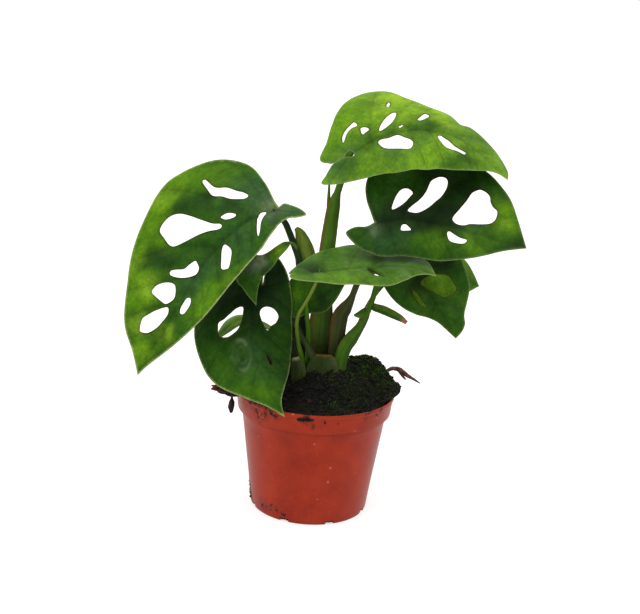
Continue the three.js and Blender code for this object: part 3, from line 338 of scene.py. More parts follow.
# A stalk's core is a little flat, and its wings bend forward. It tapers over some mm where it joins
# its blade.
STALK = {
    "step": 1.6, "sides": 40, "per_span": 24, "flatness": 0.9, "wing_bend": 0.4, "taper": 7,
    "slimmest": 0.3, "grain": 0.12, "grain_scale": 0.25, "uv_around": 0.2, "seed": 60,
}
SHEATH_FACE = (0, 1, -0.15)
STALKS = {
    "left_petiole": [
        [(-15, 28, 76, 2.6, 4), (-15.5, 28, 102, 3, 6.5), (-15.5, 26, 124, 3, 7), (-15.5, 22, 145, 2.8, 6),
         (-15.3, 17, 166, 2.7, 3.8), (-17.8, 11, 186, 2.6, 3), (-23.8, 6, 203, 2.5), (-30.5, 5, 217, 2.3),
         (-39, 1.5, 226, 2)],
    ],
    "front_petiole": [
        [(2, -3, 78, 2.4), (1, -2, 108, 2.6, 4), (-7, -1, 123, 2.2, 2.6), (-13, 1, 132, 2),
         (-20, 6, 143, 1.9), (-28, 6, 153, 1.8), (-36, 2, 161, 1.8), (-43, -7, 167, 1.7)],
    ],
    "top_petiole": [
        [(3, 20, 76, 3, 5), (2.6, 20, 103, 3.5, 8.6), (1.4, 16.5, 137, 3.2, 9.2),
         (1.2, 13.5, 155, 3.1, 7.8), (1, 10, 177, 3, 6.2), (3, 6, 209, 2.8, 5.6), (5, 3, 232, 2.6, 4.8),
         (9, 0.5, 250, 2.5), (11.4, 0.6, 262, 2.6), (13, 0.3, 269, 2.8), (19, -1, 273.8, 2.3)],
        [(2, 4, 215, 0.8, 1.6), (1, 3, 233, 0.7, 1.4), (0.5, 2, 251, 0.4, 0.6)],
    ],
    "right_petiole": [
        [(12, 12, 76, 3, 4), (14, 12, 106, 3.3, 6), (14, 11, 130, 3.1, 6), (15, 8.5, 146, 2.9, 6.2),
         (18.5, 6.5, 154, 2.7, 5.2), (22.5, 4.5, 162.5, 2.4, 2.8), (27, 2.5, 177, 2.4),
         (32.6, 1, 182, 2.4, 3.6), (36.6, -1, 188, 2.4, 3.8), (38, -3, 196, 2.3, 2.8),
         (38.4, -4.2, 205, 2.2), (39.6, -11, 214, 2.1), (42, -23, 227, 2)],
    ],
    "middle_petiole": [
        [(-10, 0, 80, 1.8), (-10, 0, 108, 2, 2.8), (-15, -8, 131, 1.5), (-16, -18, 151, 1.3),
         (-9, -32, 170, 1.2), (-4, -46, 186, 1.2), (-2, -51, 196, 1.2)],
    ],
    "lower_petiole": [
        [(17, 3, 78, 3), (17, 3, 106, 3.2, 5), (19.5, 3.5, 122, 3, 5.2), (24.5, 5.5, 131, 2.8, 5.2),
         (30, 8, 139, 2.5, 3.6), (34.5, 10.5, 148, 2.3, 2.8), (38.5, 13, 160, 2.1), (41.5, 16, 172, 2.1),
         (47, 19, 182, 2), (54, 20, 188, 2), (61, 18, 192, 2), (64, 14, 194.5, 2)],
        [(34.5, 10.8, 150.5, 1, 4.2), (31, 9, 149.5, 0.9, 3.6), (28, 7.5, 149, 0.7, 2.2),
         (25.4, 6.5, 148.8, 0.4, 0.8)],
    ],
    "folded_petiole": [
        [(-20, 7.5, 196, 1.3), (-21, 3, 199.5, 1.2), (-23, -2, 202.5, 1.1), (-26, -8, 204.5, 1)],
    ],
    "back_right_petiole": [
        [(18, 18, 78, 2.2), (19, 20, 106, 2.2), (28, 28, 128, 2), (37, 34, 151, 1.7), (48, 38, 167, 1.6),
         (58, 38, 177, 1.6), (67, 37, 182, 1.5)],
    ],
    "inner_petiole": [
        [(-8, 9, 80, 1.8), (-7.4, 8, 109, 2), (-7.3, 5.5, 123, 2), (-7.8, 2, 136, 1.9),
         (-9.2, -1.5, 146, 1.7), (-10, -2, 154, 1.5), (-9.5, 0, 159, 1.3)],
    ],
    "back_left_petiole": [
        [(-14, 17, 80, 1.8), (-13, 17, 103, 2), (-19, 17, 116, 1.7), (-25, 16, 124, 1.5),
         (-33, 13, 132, 1.4)],
    ],
    "furled_leaf": [
        [(-7, 18, 168, 2), (-9.5, 16.5, 178, 3, 4.4), (-12.2, 16, 192, 3.4, 5.7),
         (-16.6, 14.5, 202, 3.3, 5.2), (-19, 13.5, 207.5, 2.6, 3.6), (-21.8, 12.5, 211, 1, 1.6)],
    ],
    "cataphyll": [
        [(37, 14, 156, 0.9, 1.8), (41, 10, 155, 0.9, 3), (47, 8, 154, 0.8, 3.4), (54, 7, 151.5, 0.8, 3.2),
         (60, 6, 149, 0.8, 2.6), (65, 5, 146, 0.5, 1.4)],
    ],
    "old_sheath_left": [
        [(-12, -8, 84, 1, 4.6), (-13, -8.5, 105, 1, 5.8), (-14.8, -9, 113, 0.8, 4.8),
         (-16.2, -9.5, 118, 0.5, 2.2)],
    ],
    "old_sheath_front": [
        [(4, -8, 84, 1.4, 12), (4.5, -8.5, 104, 1.5, 12.5), (4.8, -8.4, 112, 1.3, 11.5),
         (5, -8, 118, 1, 8.5), (5, -7.6, 121, 0.6, 5)],
    ],
}

# --- Colours and light ------------------------------------------------------------------------

# All colours as sRGB, 0 to 255.
# sheen is a painted reflection on the leaves' gloss; the cool colour is partly their own green, partly
# painted sheen.
PALETTE = {
    "lime": (120, 154, 34), "light": (92, 130, 24), "fresh": (76, 116, 10), "soft": (66, 100, 30),
    "mid": (38, 74, 14), "dark": (29, 57, 15), "deep": (12, 27, 9), "cool_tone_and_sheen": (46, 78, 42),
    "sheen": (110, 124, 100), "under": (84, 116, 56), "margin": (150, 160, 104), "hole_rim": (70, 50, 24),
    "stem": (62, 100, 20), "stem_pale": (104, 124, 44), "stem_dark": (28, 52, 22),
    "stem_red": (106, 56, 22), "stem_brown": (84, 70, 26), "crown": (56, 66, 32),
    "sheath": (40, 54, 18), "husk": (118, 122, 80), "bract_tip": (150, 104, 84),
    "plastic_dark": (126, 29, 8), "plastic": (150, 42, 14), "scuff": (190, 120, 100),
    "smudge": (34, 18, 12), "moss_dark": (32, 54, 14), "moss": (96, 132, 36),
    "soil": (16, 15, 10), "soil_warm": (44, 28, 18), "soil_green": (24, 38, 12), "bark": (84, 50, 32),
    "chip_dark": (30, 17, 14), "chip": (52, 30, 24), "chip_worn": (120, 62, 44),
    "twig_dark": (62, 38, 30), "twig": (112, 80, 66), "twig_worn": (176, 138, 118),
}
# Crumbs of peat are one of these greys, tinted.
PEAT_GREYS = (13, 16, 22, 32)
PEAT_TINT = (1.15, 0.95, 0.75)
# How each blade is coloured: its base colour, then soft patches picked one by one, each as
# (colour, x, y, reach, strength), with the pixel of the photograph it shows at and its reach in mm.
# The patches hold painted light and shade as well as the leaves' own tones, as said for each leaf below.
PAINT = {
    # Left leaf: its cool and sheen patches near its stalk and on its narrow half are painted sheen, the
    # cool ones in part.
    "left": ("mid", [
        ("fresh", 215, 176, 8, 0.8), ("fresh", 161, 240, 7, 0.7), ("fresh", 232, 184, 6, 0.4),
        ("fresh", 172, 189, 10, 0.8), ("fresh", 184, 176, 8, 0.6), ("fresh", 158, 204, 8, 0.8),
        ("fresh", 148, 224, 7, 0.7), ("fresh", 138, 254, 7, 0.8), ("fresh", 137, 275, 8, 0.9),
        ("lime", 148, 290, 6, 0.8), ("lime", 134, 262, 5, 0.4), ("lime", 163, 196, 5, 0.4),
        ("fresh", 134, 300, 8, 0.7), ("fresh", 142, 346, 9, 0.6), ("lime", 166, 333, 4, 0.5),
        ("lime", 138, 322, 6, 0.5), ("lime", 141, 352, 5, 0.3), ("dark", 160, 259, 5, 0.9),
        ("dark", 146, 264, 5, 0.8), ("dark", 200, 203, 4, 0.9), ("dark", 180, 207, 4, 0.8),
        ("dark", 228, 203, 4, 0.6), ("deep", 178, 208, 3, 0.4), ("deep", 172, 260, 3, 0.5),
        ("dark", 205, 262, 4, 0.4), ("light", 205, 297, 6, 0.5), ("light", 230, 281, 5, 0.4),
        ("fresh", 200, 304, 9, 0.8), ("fresh", 216, 290, 7, 0.7), ("fresh", 242, 269, 7, 0.5),
        ("dark", 180, 204, 5, 0.7), ("dark", 192, 204, 5, 0.8), ("dark", 205, 208, 5, 0.7),
        ("dark", 157, 255, 6, 0.7), ("dark", 172, 258, 5, 0.6), ("dark", 218, 174, 5, 0.4),
        ("cool_tone_and_sheen", 242, 187, 9, 0.6), ("cool_tone_and_sheen", 258, 197, 9, 0.8), ("sheen", 274, 208, 8, 0.6),
        ("cool_tone_and_sheen", 292, 213, 9, 0.9), ("cool_tone_and_sheen", 190, 286, 8, 0.7), ("cool_tone_and_sheen", 206, 266, 8, 0.5),
        ("cool_tone_and_sheen", 238, 236, 9, 0.6), ("dark", 214, 250, 7, 0.5), ("dark", 242, 209, 6, 0.5),
        ("cool_tone_and_sheen", 247, 253, 6, 0.4),
    ]),
    # Front leaf: its dark base is partly its own tone; its deep patches near the top are painted shade
    # under the leaves over it.
    "front": ("dark", [
        ("deep", 245, 298, 11, 0.9), ("deep", 264, 288, 11, 0.9), ("deep", 276, 272, 8, 0.9),
        ("deep", 225, 296, 9, 0.7), ("deep", 257, 322, 7, 0.6), ("mid", 216, 366, 9, 0.7),
        ("mid", 204, 343, 6, 0.5), ("mid", 238, 382, 9, 0.8), ("fresh", 262, 388, 8, 0.4),
        ("mid", 262, 388, 11, 0.9), ("fresh", 270, 395, 7, 0.5), ("fresh", 222, 372, 6, 0.15),
        ("fresh", 240, 390, 6, 0.2), ("mid", 276, 400, 7, 0.8), ("mid", 282, 335, 6, 0.7),
        ("mid", 279, 352, 6, 0.6), ("cool_tone_and_sheen", 254, 352, 7, 0.4), ("cool_tone_and_sheen", 262, 370, 6, 0.3),
    ]),
    "top": ("light", [
        ("lime", 395, 100, 13, 0.9), ("lime", 426, 111, 10, 0.8), ("lime", 443, 117, 8, 0.8),
        ("fresh", 345, 114, 10, 0.6), ("fresh", 330, 148, 9, 0.9), ("fresh", 352, 137, 6, 0.6),
        ("mid", 367, 106, 5, 0.5), ("mid", 427, 125, 8, 0.9), ("mid", 411, 128, 6, 0.6),
        ("mid", 388, 133, 6, 0.7), ("mid", 368, 141, 7, 0.7), ("cool_tone_and_sheen", 352, 151, 6, 0.5),
        ("cool_tone_and_sheen", 338, 166, 9, 0.8), ("cool_tone_and_sheen", 390, 152, 8, 0.6), ("cool_tone_and_sheen", 415, 140, 7, 0.4),
        ("mid", 350, 166, 6, 0.7), ("mid", 376, 168, 6, 0.4), ("mid", 450, 166, 9, 0.9),
        ("mid", 470, 163, 8, 0.8), ("dark", 462, 157, 4, 0.7), ("mid", 481, 144, 6, 0.5),
        ("cool_tone_and_sheen", 463, 136, 7, 0.5), ("mid", 398, 160, 6, 0.4), ("deep", 506, 170, 3, 0.6),
    ]),
    # Right leaf: its dark base and deep patches are a painted shadow cast on it by the top leaf.
    "right": ("dark", [
        ("deep", 440, 175, 11, 0.7), ("deep", 445, 215, 12, 0.9), ("deep", 410, 215, 11, 0.9),
        ("deep", 470, 188, 8, 0.8), ("deep", 388, 220, 8, 0.8), ("deep", 430, 226, 8, 0.6),
        ("mid", 385, 181, 8, 0.7), ("mid", 377, 197, 6, 0.5), ("mid", 491, 192, 6, 0.7),
        ("fresh", 506, 214, 8, 0.9), ("fresh", 500, 228, 7, 0.7), ("cool_tone_and_sheen", 470, 231, 7, 0.5),
        ("fresh", 480, 245, 7, 0.6), ("fresh", 466, 243, 6, 0.5), ("mid", 500, 242, 7, 0.6),
        ("fresh", 438, 243, 7, 0.5), ("lime", 505, 224, 4, 0.25), ("mid", 455, 250, 6, 0.8),
        ("fresh", 420, 239, 5, 0.5), ("dark", 395, 234, 5, 0.5), ("mid", 360, 233, 8, 0.6),
        ("sheen", 377, 227, 3, 0.4), ("cool_tone_and_sheen", 384, 244, 7, 0.4), ("cool_tone_and_sheen", 402, 240, 8, 0.4),
        ("mid", 420, 247, 7, 0.5),
    ]),
    # Middle leaf: the mid patches at its top right are a painted shadow of the right leaf, the light ones
    # along its lower edge a painted highlight.
    "middle": ("soft", [
        ("mid", 298, 266, 7, 0.7), ("deep", 311, 267, 5, 0.8), ("dark", 304, 272, 4, 0.5),
        ("light", 343, 277, 7, 0.5), ("light", 322, 280, 5, 0.4), ("mid", 362, 254, 8, 0.6),
        ("mid", 376, 264, 5, 0.7), ("fresh", 345, 251, 7, 0.3), ("cool_tone_and_sheen", 388, 266, 6, 0.4),
        ("mid", 400, 257, 7, 0.9), ("mid", 386, 257, 6, 0.5), ("mid", 413, 260, 7, 0.9),
        ("sheen", 404, 275, 4, 0.25), ("mid", 330, 258, 7, 0.4), ("light", 295, 277, 4, 0.4),
    ]),
    # Lower leaf: the deep patches in its upper part are painted shade under the middle and right leaves.
    "lower": ("mid", [
        ("soft", 425, 296, 7, 0.5), ("soft", 421, 311, 6, 0.8), ("soft", 455, 316, 8, 0.5),
        ("soft", 470, 300, 5, 0.4), ("deep", 418, 284, 7, 0.9), ("deep", 445, 262, 8, 0.9),
        ("deep", 431, 263, 6, 0.9), ("deep", 434, 303, 7, 0.45), ("deep", 456, 274, 6, 0.5),
        ("mid", 430, 312, 8, 0.7), ("mid", 447, 317, 8, 0.7), ("mid", 462, 285, 5, 0.6),
        ("mid", 457, 331, 6, 0.9), ("mid", 415, 305, 5, 0.5), ("cool_tone_and_sheen", 452, 306, 6, 0.3),
    ]),
    # Folded leaf: its sheen patches are a painted sheen, the light ones by its tip painted light, the deep
    # and dark ones painted shade.
    "folded": ("mid", [
        ("sheen", 254, 265, 4, 1), ("sheen", 259, 260, 4, 1), ("cool_tone_and_sheen", 284, 246, 6, 0.6),
        ("light", 282, 249, 5, 0.7), ("light", 276, 254, 4, 0.5), ("stem_brown", 271, 251, 3, 0.6),
        ("deep", 264, 270, 4, 0.7), ("mid", 250, 290, 8, 0.8), ("dark", 247, 280, 5, 0.5),
        ("dark", 268, 262, 3, 0.5),
    ]),
    "back_right": ("soft", [
        ("light", 474, 262, 6, 0.5), ("cool_tone_and_sheen", 470, 270, 5, 0.3), ("mid", 472, 282, 5, 0.4),
        ("light", 441, 284, 10, 0.7), ("light", 421, 299, 5, 0.8), ("fresh", 448, 278, 5, 0.3),
    ]),
    "inner": ("dark", [
        ("mid", 299, 300, 8, 0.9), ("fresh", 297, 290, 6, 0.7), ("mid", 296, 280, 5, 0.8),
        ("deep", 320, 306, 7, 0.4), ("mid", 332, 292, 6, 0.3),
    ]),
    "back_left": ("light", [
        ("mid", 223, 331, 5, 0.5), ("lime", 236, 321, 4, 0.6),
    ]),
}
# How much darker a blade is close to its veins, and how strong the pale line round its rim is.
VEIN_BANDS = {"left": 0.5, "top": 0.35, "right": 0.4, "middle": 0.3}
RIM_LINES = {"left": 0.75, "front": 0.6}
# The same for every other blade, with the strength of its other lines and marks.
# Of these, vein is painted shade in the grooves, ring_mark a painted sheen, pinch painted shade in a dip.
BLADE_LINES = {"vein_band": 0.25, "rim": 0.25, "hole": 0.45, "vein": 0.35, "ring_mark": 0.35, "pinch": 0.9,
               "side_vein": 0.6}
# How far in mm the patches are pushed out of round, at which scale, and how much brighter a blade
# is between its veins.
PATCH_DRIFT = 5
PATCH_SCALE = 0.07
BETWEEN_VEINS = 1.06
# Warmer patches of the soil, and how far it turns green under moss.
SOIL_PATCHES = {"warm": 0.5, "from": 0.1, "to": 0.6, "scale": 0.12, "seed": 6, "green": 0.8}
# Colours of each stalk: at the soil, higher up, along its left edge, and at its tip if that differs.
STALK_COLOURS = {
    "left_petiole": ("crown", "stem_dark", "stem_red"),
    "front_petiole": ("crown", "stem_dark", "stem"),
    "top_petiole": ("crown", "stem", "stem_red"),
    "right_petiole": ("crown", "crown", "stem_red"),
    "middle_petiole": ("stem", "stem_pale", "stem_pale"),
    "lower_petiole": ("stem", "stem", "stem_brown"),
    "folded_petiole": ("stem", "stem", "stem"),
    "back_right_petiole": ("crown", "stem", "stem"),
    "inner_petiole": ("stem", "stem", "stem"),
    "back_left_petiole": ("crown", "stem_dark", "stem_dark"),
    "furled_leaf": ("stem", "stem_pale", "stem"),
    "cataphyll": ("stem", "stem", "stem_brown", "bract_tip"),
    "old_sheath_left": ("sheath", "sheath", "husk", "husk"),
    "old_sheath_front": ("sheath", "sheath", "husk", "stem_brown"),
}
# How much of its edge colour a stalk shows on its left and right, how much darker its right is, how
# high over the soil its colour changes, and at which share of its length its tip's colour starts.
# Its darker right is painted shade, on the side away from the light.
STALK_TINTS = {"left": 0.9, "right": 0.25, "shade": 0.4, "rise": (22, 72), "tip": (0.76, 0.94)}
# Smudges of peat on the pot, as (centre, reach).
DIRT_ON_POT = [
    ((-44, -40, 90), 9), ((-37, -47, 89), 10), ((-29, -53, 88), 8), ((-40, -44, 82), 8), ((-5, -60, 88), 7),
    ((0, -59, 83), 3), ((-45, -9, 12), 9), ((-43, -10, 5), 8), ((-32, -30, 8), 7), ((-25, -36, 8), 7),
    ((-18, -41, 5), 4), ((38, -43, 90), 7), ((48, -36, 89), 6),
]
# The studio's even glow, and its large soft lamps as (name, where from, power, softness in degrees).
WORLD_GLOW = 1.0
LAMPS = [("key", (-0.5, -0.6, 1.4), 1.15, 60), ("top", (0.3, 0.3, 1.5), 0.7, 90)]
FLOOR = {"glow": 0.62, "reach": 60000}

# --- Small helpers ----------------------------------------------------------------------------


def linear(rgb):
    """A 0 to 255 sRGB colour as linear values."""
    share = np.asarray(rgb, float) / 255
    return np.where(share <= 0.04045, share / 12.92, ((share + 0.055) / 1.055) ** 2.4)


def shade(name):
    """A colour of the palette as linear values."""
    return linear(PALETTE[name])


def blended(colours, towards, share):
    """The colours moved towards others by a share that is given for each point."""
    return colours + (towards - colours) * share[:, None]


def bell(distance, spread):
    """1 at no distance, and close to 0 from three spreads on."""
    return np.exp(-0.5 * (distance / spread) ** 2)


def smooth(value, low, high):
    """0 up to low and 1 from high on, with soft ends."""
    share = np.clip((value - low) / (high - low), 0, 1)
    return share * share * (3 - 2 * share)


def unit(vectors):
    return vectors / np.linalg.norm(vectors, axis=-1, keepdims=True)


def spot(radius, angle):
    return radius * np.cos(angle), radius * np.sin(angle)


def field(points, scale, seed=0):
    """Smooth noise between -1 and 1 at each point."""
    shift = Vector((seed * 13.7, seed * 5.1, seed * 9.3))
    return np.array([noise.noise(Vector(p) * scale + shift) for p in np.asarray(points, float)])


def flat_field(flat, scale, seed):
    """The same for points that are flat."""
    return field(np.column_stack([flat, np.zeros(len(flat))]), scale, seed)


def catmull_rom(controls, per_span, closed=False):
    """Points on a smooth line through the controls."""
    p = np.asarray(controls, float)
    if closed:
        p = np.vstack([p[-1], p, p[0], p[1]])
    else:
        p = np.vstack([2 * p[0] - p[1], p, 2 * p[-1] - p[-2]])
    t = (np.arange(per_span) / per_span)[:, None]
    line = []
    for a, b, c, d in zip(p, p[1:], p[2:], p[3:]):
        squared, cubed = 2 * a - 5 * b + 4 * c - d, 3 * b - a - 3 * c + d
        line.append(0.5 * (2 * b + (c - a) * t + squared * t**2 + cubed * t**3))
    return np.vstack(line if closed else [*line, p[-2]])


def along(line, closed=False):
    """Distance from the line's start to each of its points."""
    ends = np.vstack([line, line[:1]]) if closed else line
    return np.concatenate([[0], np.cumsum(np.linalg.norm(np.diff(ends, axis=0), axis=1))])


def resampled(line, step, closed=False):
    """The line with its points about one step apart."""
    run = along(line, closed)
    count = max(6, round(run[-1] / step))
    places = np.linspace(0, run[-1], count, endpoint=not closed)
    ends = np.vstack([line, line[:1]]) if closed else line
    return np.stack([np.interp(places, run, ends[:, k]) for k in range(ends.shape[1])], 1)


def add_mesh(name, points, faces, slots=None, colours=None, uvs=None, materials=()):
    """A smooth-shaded object of points in mm, with a colour and a uv for each point."""
    mesh = bpy.data.meshes.new(name)
    mesh.from_pydata((np.asarray(points) * MM).tolist(), [], [tuple(map(int, face)) for face in faces])
    for material in materials:
        mesh.materials.append(material)
    if slots is not None:
        mesh.polygons.foreach_set("material_index", np.asarray(slots, np.int32))
    if colours is not None:
        layer = mesh.color_attributes.new("tint", "FLOAT_COLOR", "POINT")
        rgba = np.column_stack([np.clip(colours, 0, 1), np.ones(len(points))])
        layer.data.foreach_set("color", rgba.astype(np.float32).ravel())
    if uvs is not None:
        corner = np.empty(len(mesh.loops), np.int32)
        mesh.loops.foreach_get("vertex_index", corner)
        layer = mesh.uv_layers.new(name="surface")
        layer.data.foreach_set("uv", np.asarray(uvs, np.float32)[corner].ravel())
    mesh.polygons.foreach_set("use_smooth", np.ones(len(mesh.polygons), bool))
    mesh.validate()
    mesh.update()
    piece = bpy.data.objects.new(name, mesh)
    bpy.context.collection.objects.link(piece)
    return piece


def dress(piece, nodes=()):
    """The piece rides on the part, and hides the CAD nodes that it stands for, where it is given any."""
    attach(piece, "root")
    if nodes:
        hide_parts(*nodes)


# --- Materials --------------------------------------------------------------------------------


class Shader:
    """A Principled material whose nodes are added one by one."""

    def __init__(self, name, roughness=0.5, specular=0.5):
        self.material = bpy.data.materials.new(name)
        self.material.use_nodes = True
        self.tree = self.material.node_tree
        self.surface = self.tree.nodes["Principled BSDF"]
        self.surface.inputs["Roughness"].default_value = roughness
        self.surface.inputs["Specular IOR Level"].default_value = specular

    def node(self, kind, settings=None, **inputs):
        node = self.tree.nodes.new(kind)
        for key, value in (settings or {}).items():
            setattr(node, key, value)
        for key, value in inputs.items():
            self.feed(node.inputs[key.replace("_", " ")], value)
        return node

    def feed(self, socket, value):
        if isinstance(value, bpy.types.NodeSocket):
            self.tree.links.new(value, socket)
        else:
            socket.default_value = value

    def place(self, scale=(1, 1, 1), flat=False):
        """Coordinates in metres on the object, or along the surface's own grid."""
        source = self.node("ShaderNodeTexCoord").outputs["UV" if flat else "Object"]
        return self.node("ShaderNodeMapping", Vector=source, Scale=scale).outputs["Vector"]

    def span(self, value, low, high, to_low=0.0, to_high=1.0, smoothed=False):
        """The value between low and high, turned into one between to_low and to_high."""
        kind = {"interpolation_type": "SMOOTHSTEP" if smoothed else "LINEAR", "clamp": True}
        limits = {"From_Min": low, "From_Max": high, "To_Min": to_low, "To_Max": to_high}
        return self.node("ShaderNodeMapRange", kind, Value=value, **limits).outputs["Result"]

    def noise(self, place, scale, low=0.3, high=0.7, detail=4.0, roughness=0.55):
        """Noise that runs from 0 to 1 between its values low and high."""
        looks = {"Scale": scale, "Detail": detail, "Roughness": roughness}
        return self.span(self.node("ShaderNodeTexNoise", Vector=place, **looks).outputs["Fac"], low, high)

    def cells(self, place, scale, feature="DISTANCE_TO_EDGE"):
        node = self.node("ShaderNodeTexVoronoi", {"feature": feature}, Vector=place, Scale=scale)
        return node.outputs["Distance"]

    def math(self, operation, a, b):
        node = self.node("ShaderNodeMath", {"operation": operation})
        self.feed(node.inputs[0], a)
        self.feed(node.inputs[1], b)
        return node.outputs[0]

    def mix(self, share, a, b, blend="MIX"):
        node = self.node("ShaderNodeMix", {"data_type": "RGBA", "blend_type": blend})
        self.feed(node.inputs["Factor"], share)
        for key, value in (("A", a), ("B", b)):
            socket = next(s for s in node.inputs if s.name == key and s.type == "RGBA")
            self.feed(socket, value if isinstance(value, bpy.types.NodeSocket) else (*value, 1))
        return next(s for s in node.outputs if s.type == "RGBA")

    def vary(self, colour, share, low, high):
        """The colour times a tint that runs from low to high with the share."""
        return self.mix(1.0, colour, self.mix(share, low, high), "MULTIPLY")

    def tint(self):
        return self.node("ShaderNodeVertexColor", {"layer_name": "tint"}).outputs["Color"]

    def distance(self, centre):
        """Distance in metres from a point given in mm."""
        node = self.node("ShaderNodeVectorMath", {"operation": "DISTANCE"})
        self.feed(node.inputs[0], self.node("ShaderNodeTexCoord").outputs["Object"])
        node.inputs[1].default_value = [c * MM for c in centre]
        return node.outputs["Value"]

    def bump(self, height, strength, distance):
        """Adds a bump whose height runs from 0 to 1 over the distance in mm."""
        before = self.surface.inputs["Normal"].links
        node = self.node("ShaderNodeBump", Height=height, Strength=strength, Distance=distance * MM)
        if before:
            self.feed(node.inputs["Normal"], before[0].from_socket)
        self.feed(self.surface.inputs["Normal"], node.outputs["Normal"])

    def glow(self, strength):
        self.surface.inputs["Emission Color"].default_value = (1, 1, 1, 1)
        self.surface.inputs["Emission Strength"].default_value = strength

    def finish(self, colour, roughness=None):
        self.feed(self.surface.inputs["Base Color"], colour)
        if roughness is not None:
            self.feed(self.surface.inputs["Roughness"], roughness)
        return self.material


def grey(value):
    return (value, value, value)


def leaf_material():
    """Leathery blade: soft mottling, a net of fine veins and a satin sheen."""
    shader = Shader("leaf", specular=0.04)
    grid = shader.place(flat=True)
    blotch = shader.noise(grid, 13, 0.38, 0.62, roughness=0.6)
    mottle = shader.noise(grid, 42, 0.36, 0.64, roughness=0.6)
    freckle = shader.noise(grid, 190, detail=3)
    net = shader.span(shader.cells(grid, 38), 0.0, 0.06)
    colour = shader.vary(shader.tint(), blotch, (0.76, 0.84, 0.88), (1.2, 1.13, 0.9))
    colour = shader.vary(colour, mottle, (0.82, 0.86, 0.86), (1.16, 1.12, 1.1))
    colour = shader.vary(colour, freckle, grey(0.9), (1.1, 1.1, 1.08))
    colour = shader.vary(colour, net, (1.12, 1.12, 1.0), grey(1))
    shader.bump(net, 0.25, 0.12)
    shader.bump(freckle, 0.2, 0.08)
    return shader.finish(colour, shader.span(mottle, 0, 1, 0.34, 0.5))


def margin_material():
    """The pale rim of a blade, and the brown one of its holes."""
    shader = Shader("leaf_margin", specular=0.04)
    fleck = shader.noise(shader.place(), 700)
    colour = shader.vary(shader.tint(), fleck, (0.7, 0.75, 0.7), grey(1.1))
    return shader.finish(colour, shader.span(fleck, 0, 1, 0.4, 0.55))


def stalk_material():
    """Fleshy stalk with fine streaks along its length."""
    shader = Shader("stalk", specular=0.08)
    streak = shader.noise(shader.place((1, 0.06, 1), flat=True), 130, detail=3)
    blotch = shader.noise(shader.place(), 160)
    colour = shader.vary(shader.tint(), streak, (0.74, 0.76, 0.72), (1.24, 1.2, 1.16))
    colour = shader.vary(colour, blotch, grey(0.84), (1.12, 1.1, 1.06))
    shader.bump(streak, 0.4, 0.15)
    return shader.finish(colour, shader.span(blotch, 0, 1, 0.36, 0.55))


def peat_smudges(shader, place):
    """Where peat clings to the pot: crumbly smudges at their places, and stray grains all over."""
    smudge = 0.0
    for centre, reach in DIRT_ON_POT:
        near = shader.span(shader.distance(centre), 0.3 * reach * MM, reach * MM, 1, 0, smoothed=True)
        smudge = shader.math("MAXIMUM", near, smudge)
    crumbs = shader.noise(place, 330, 0.47, 0.56, detail=6, roughness=0.7)
    stray = shader.math("MULTIPLY", shader.noise(place, 420, 0.72, 0.76, detail=2), 0.6)
    return shader.math("MAXIMUM", shader.math("MULTIPLY", smudge, crumbs), stray)


def pot_material():
    """Satin terracotta-coloured plastic, grainy, scuffed and smudged with peat."""
    shader = Shader("terracotta_plastic", specular=0.14)
    place = shader.place()
    grain = shader.noise(place, 900, detail=3)
    cloud = shader.noise(place, 45, detail=5, roughness=0.6)
    speck = shader.span(shader.cells(place, 75, "F1"), 0.05, 0.1, 1, 0)
    dirt = peat_smudges(shader, place)
    colour = shader.mix(cloud, shade("plastic_dark"), shade("plastic"))
    colour = shader.vary(colour, grain, grey(0.86), grey(1.1))
    colour = shader.mix(shader.math("MULTIPLY", speck, 0.35), colour, shade("scuff"))
    colour = shader.mix(dirt, colour, shade("smudge"))
    shader.bump(grain, 0.15, 0.1)
    shader.bump(dirt, 0.5, 0.3)
    satin = shader.span(cloud, 0, 1, 0.3, 0.42)
    return shader.finish(colour, shader.math("MAXIMUM", satin, shader.math("MULTIPLY", dirt, 0.9)))


def earth_material(name, low, high, scale, specular=0.2):
    """Matt crumbly matter: peat, bark or moss, tinted for each point."""
    shader = Shader(name, roughness=0.95, specular=specular)
    place = shader.place()
    clump = shader.noise(place, scale, 0.35, 0.65, detail=6, roughness=0.7)
    fine = shader.noise(place, scale * 5, 0.35, 0.65, roughness=0.7)
    colour = shader.vary(shader.tint(), clump, grey(low), grey(high))
    shader.bump(fine, 0.6, 0.25)
    shader.bump(clump, 0.6, 0.6)
    return shader.finish(colour)


def floor_material():
    """White board with a glow of its own, so that hardly a shadow shows on it."""
    shader = Shader("studio_floor", roughness=0.6, specular=0.1)
    tone = shader.noise(shader.place(), 3)
    shader.glow(FLOOR["glow"])
    return shader.finish(shader.mix(tone, grey(0.42), grey(0.44)))


# --- Blades -----------------------------------------------------------------------------------


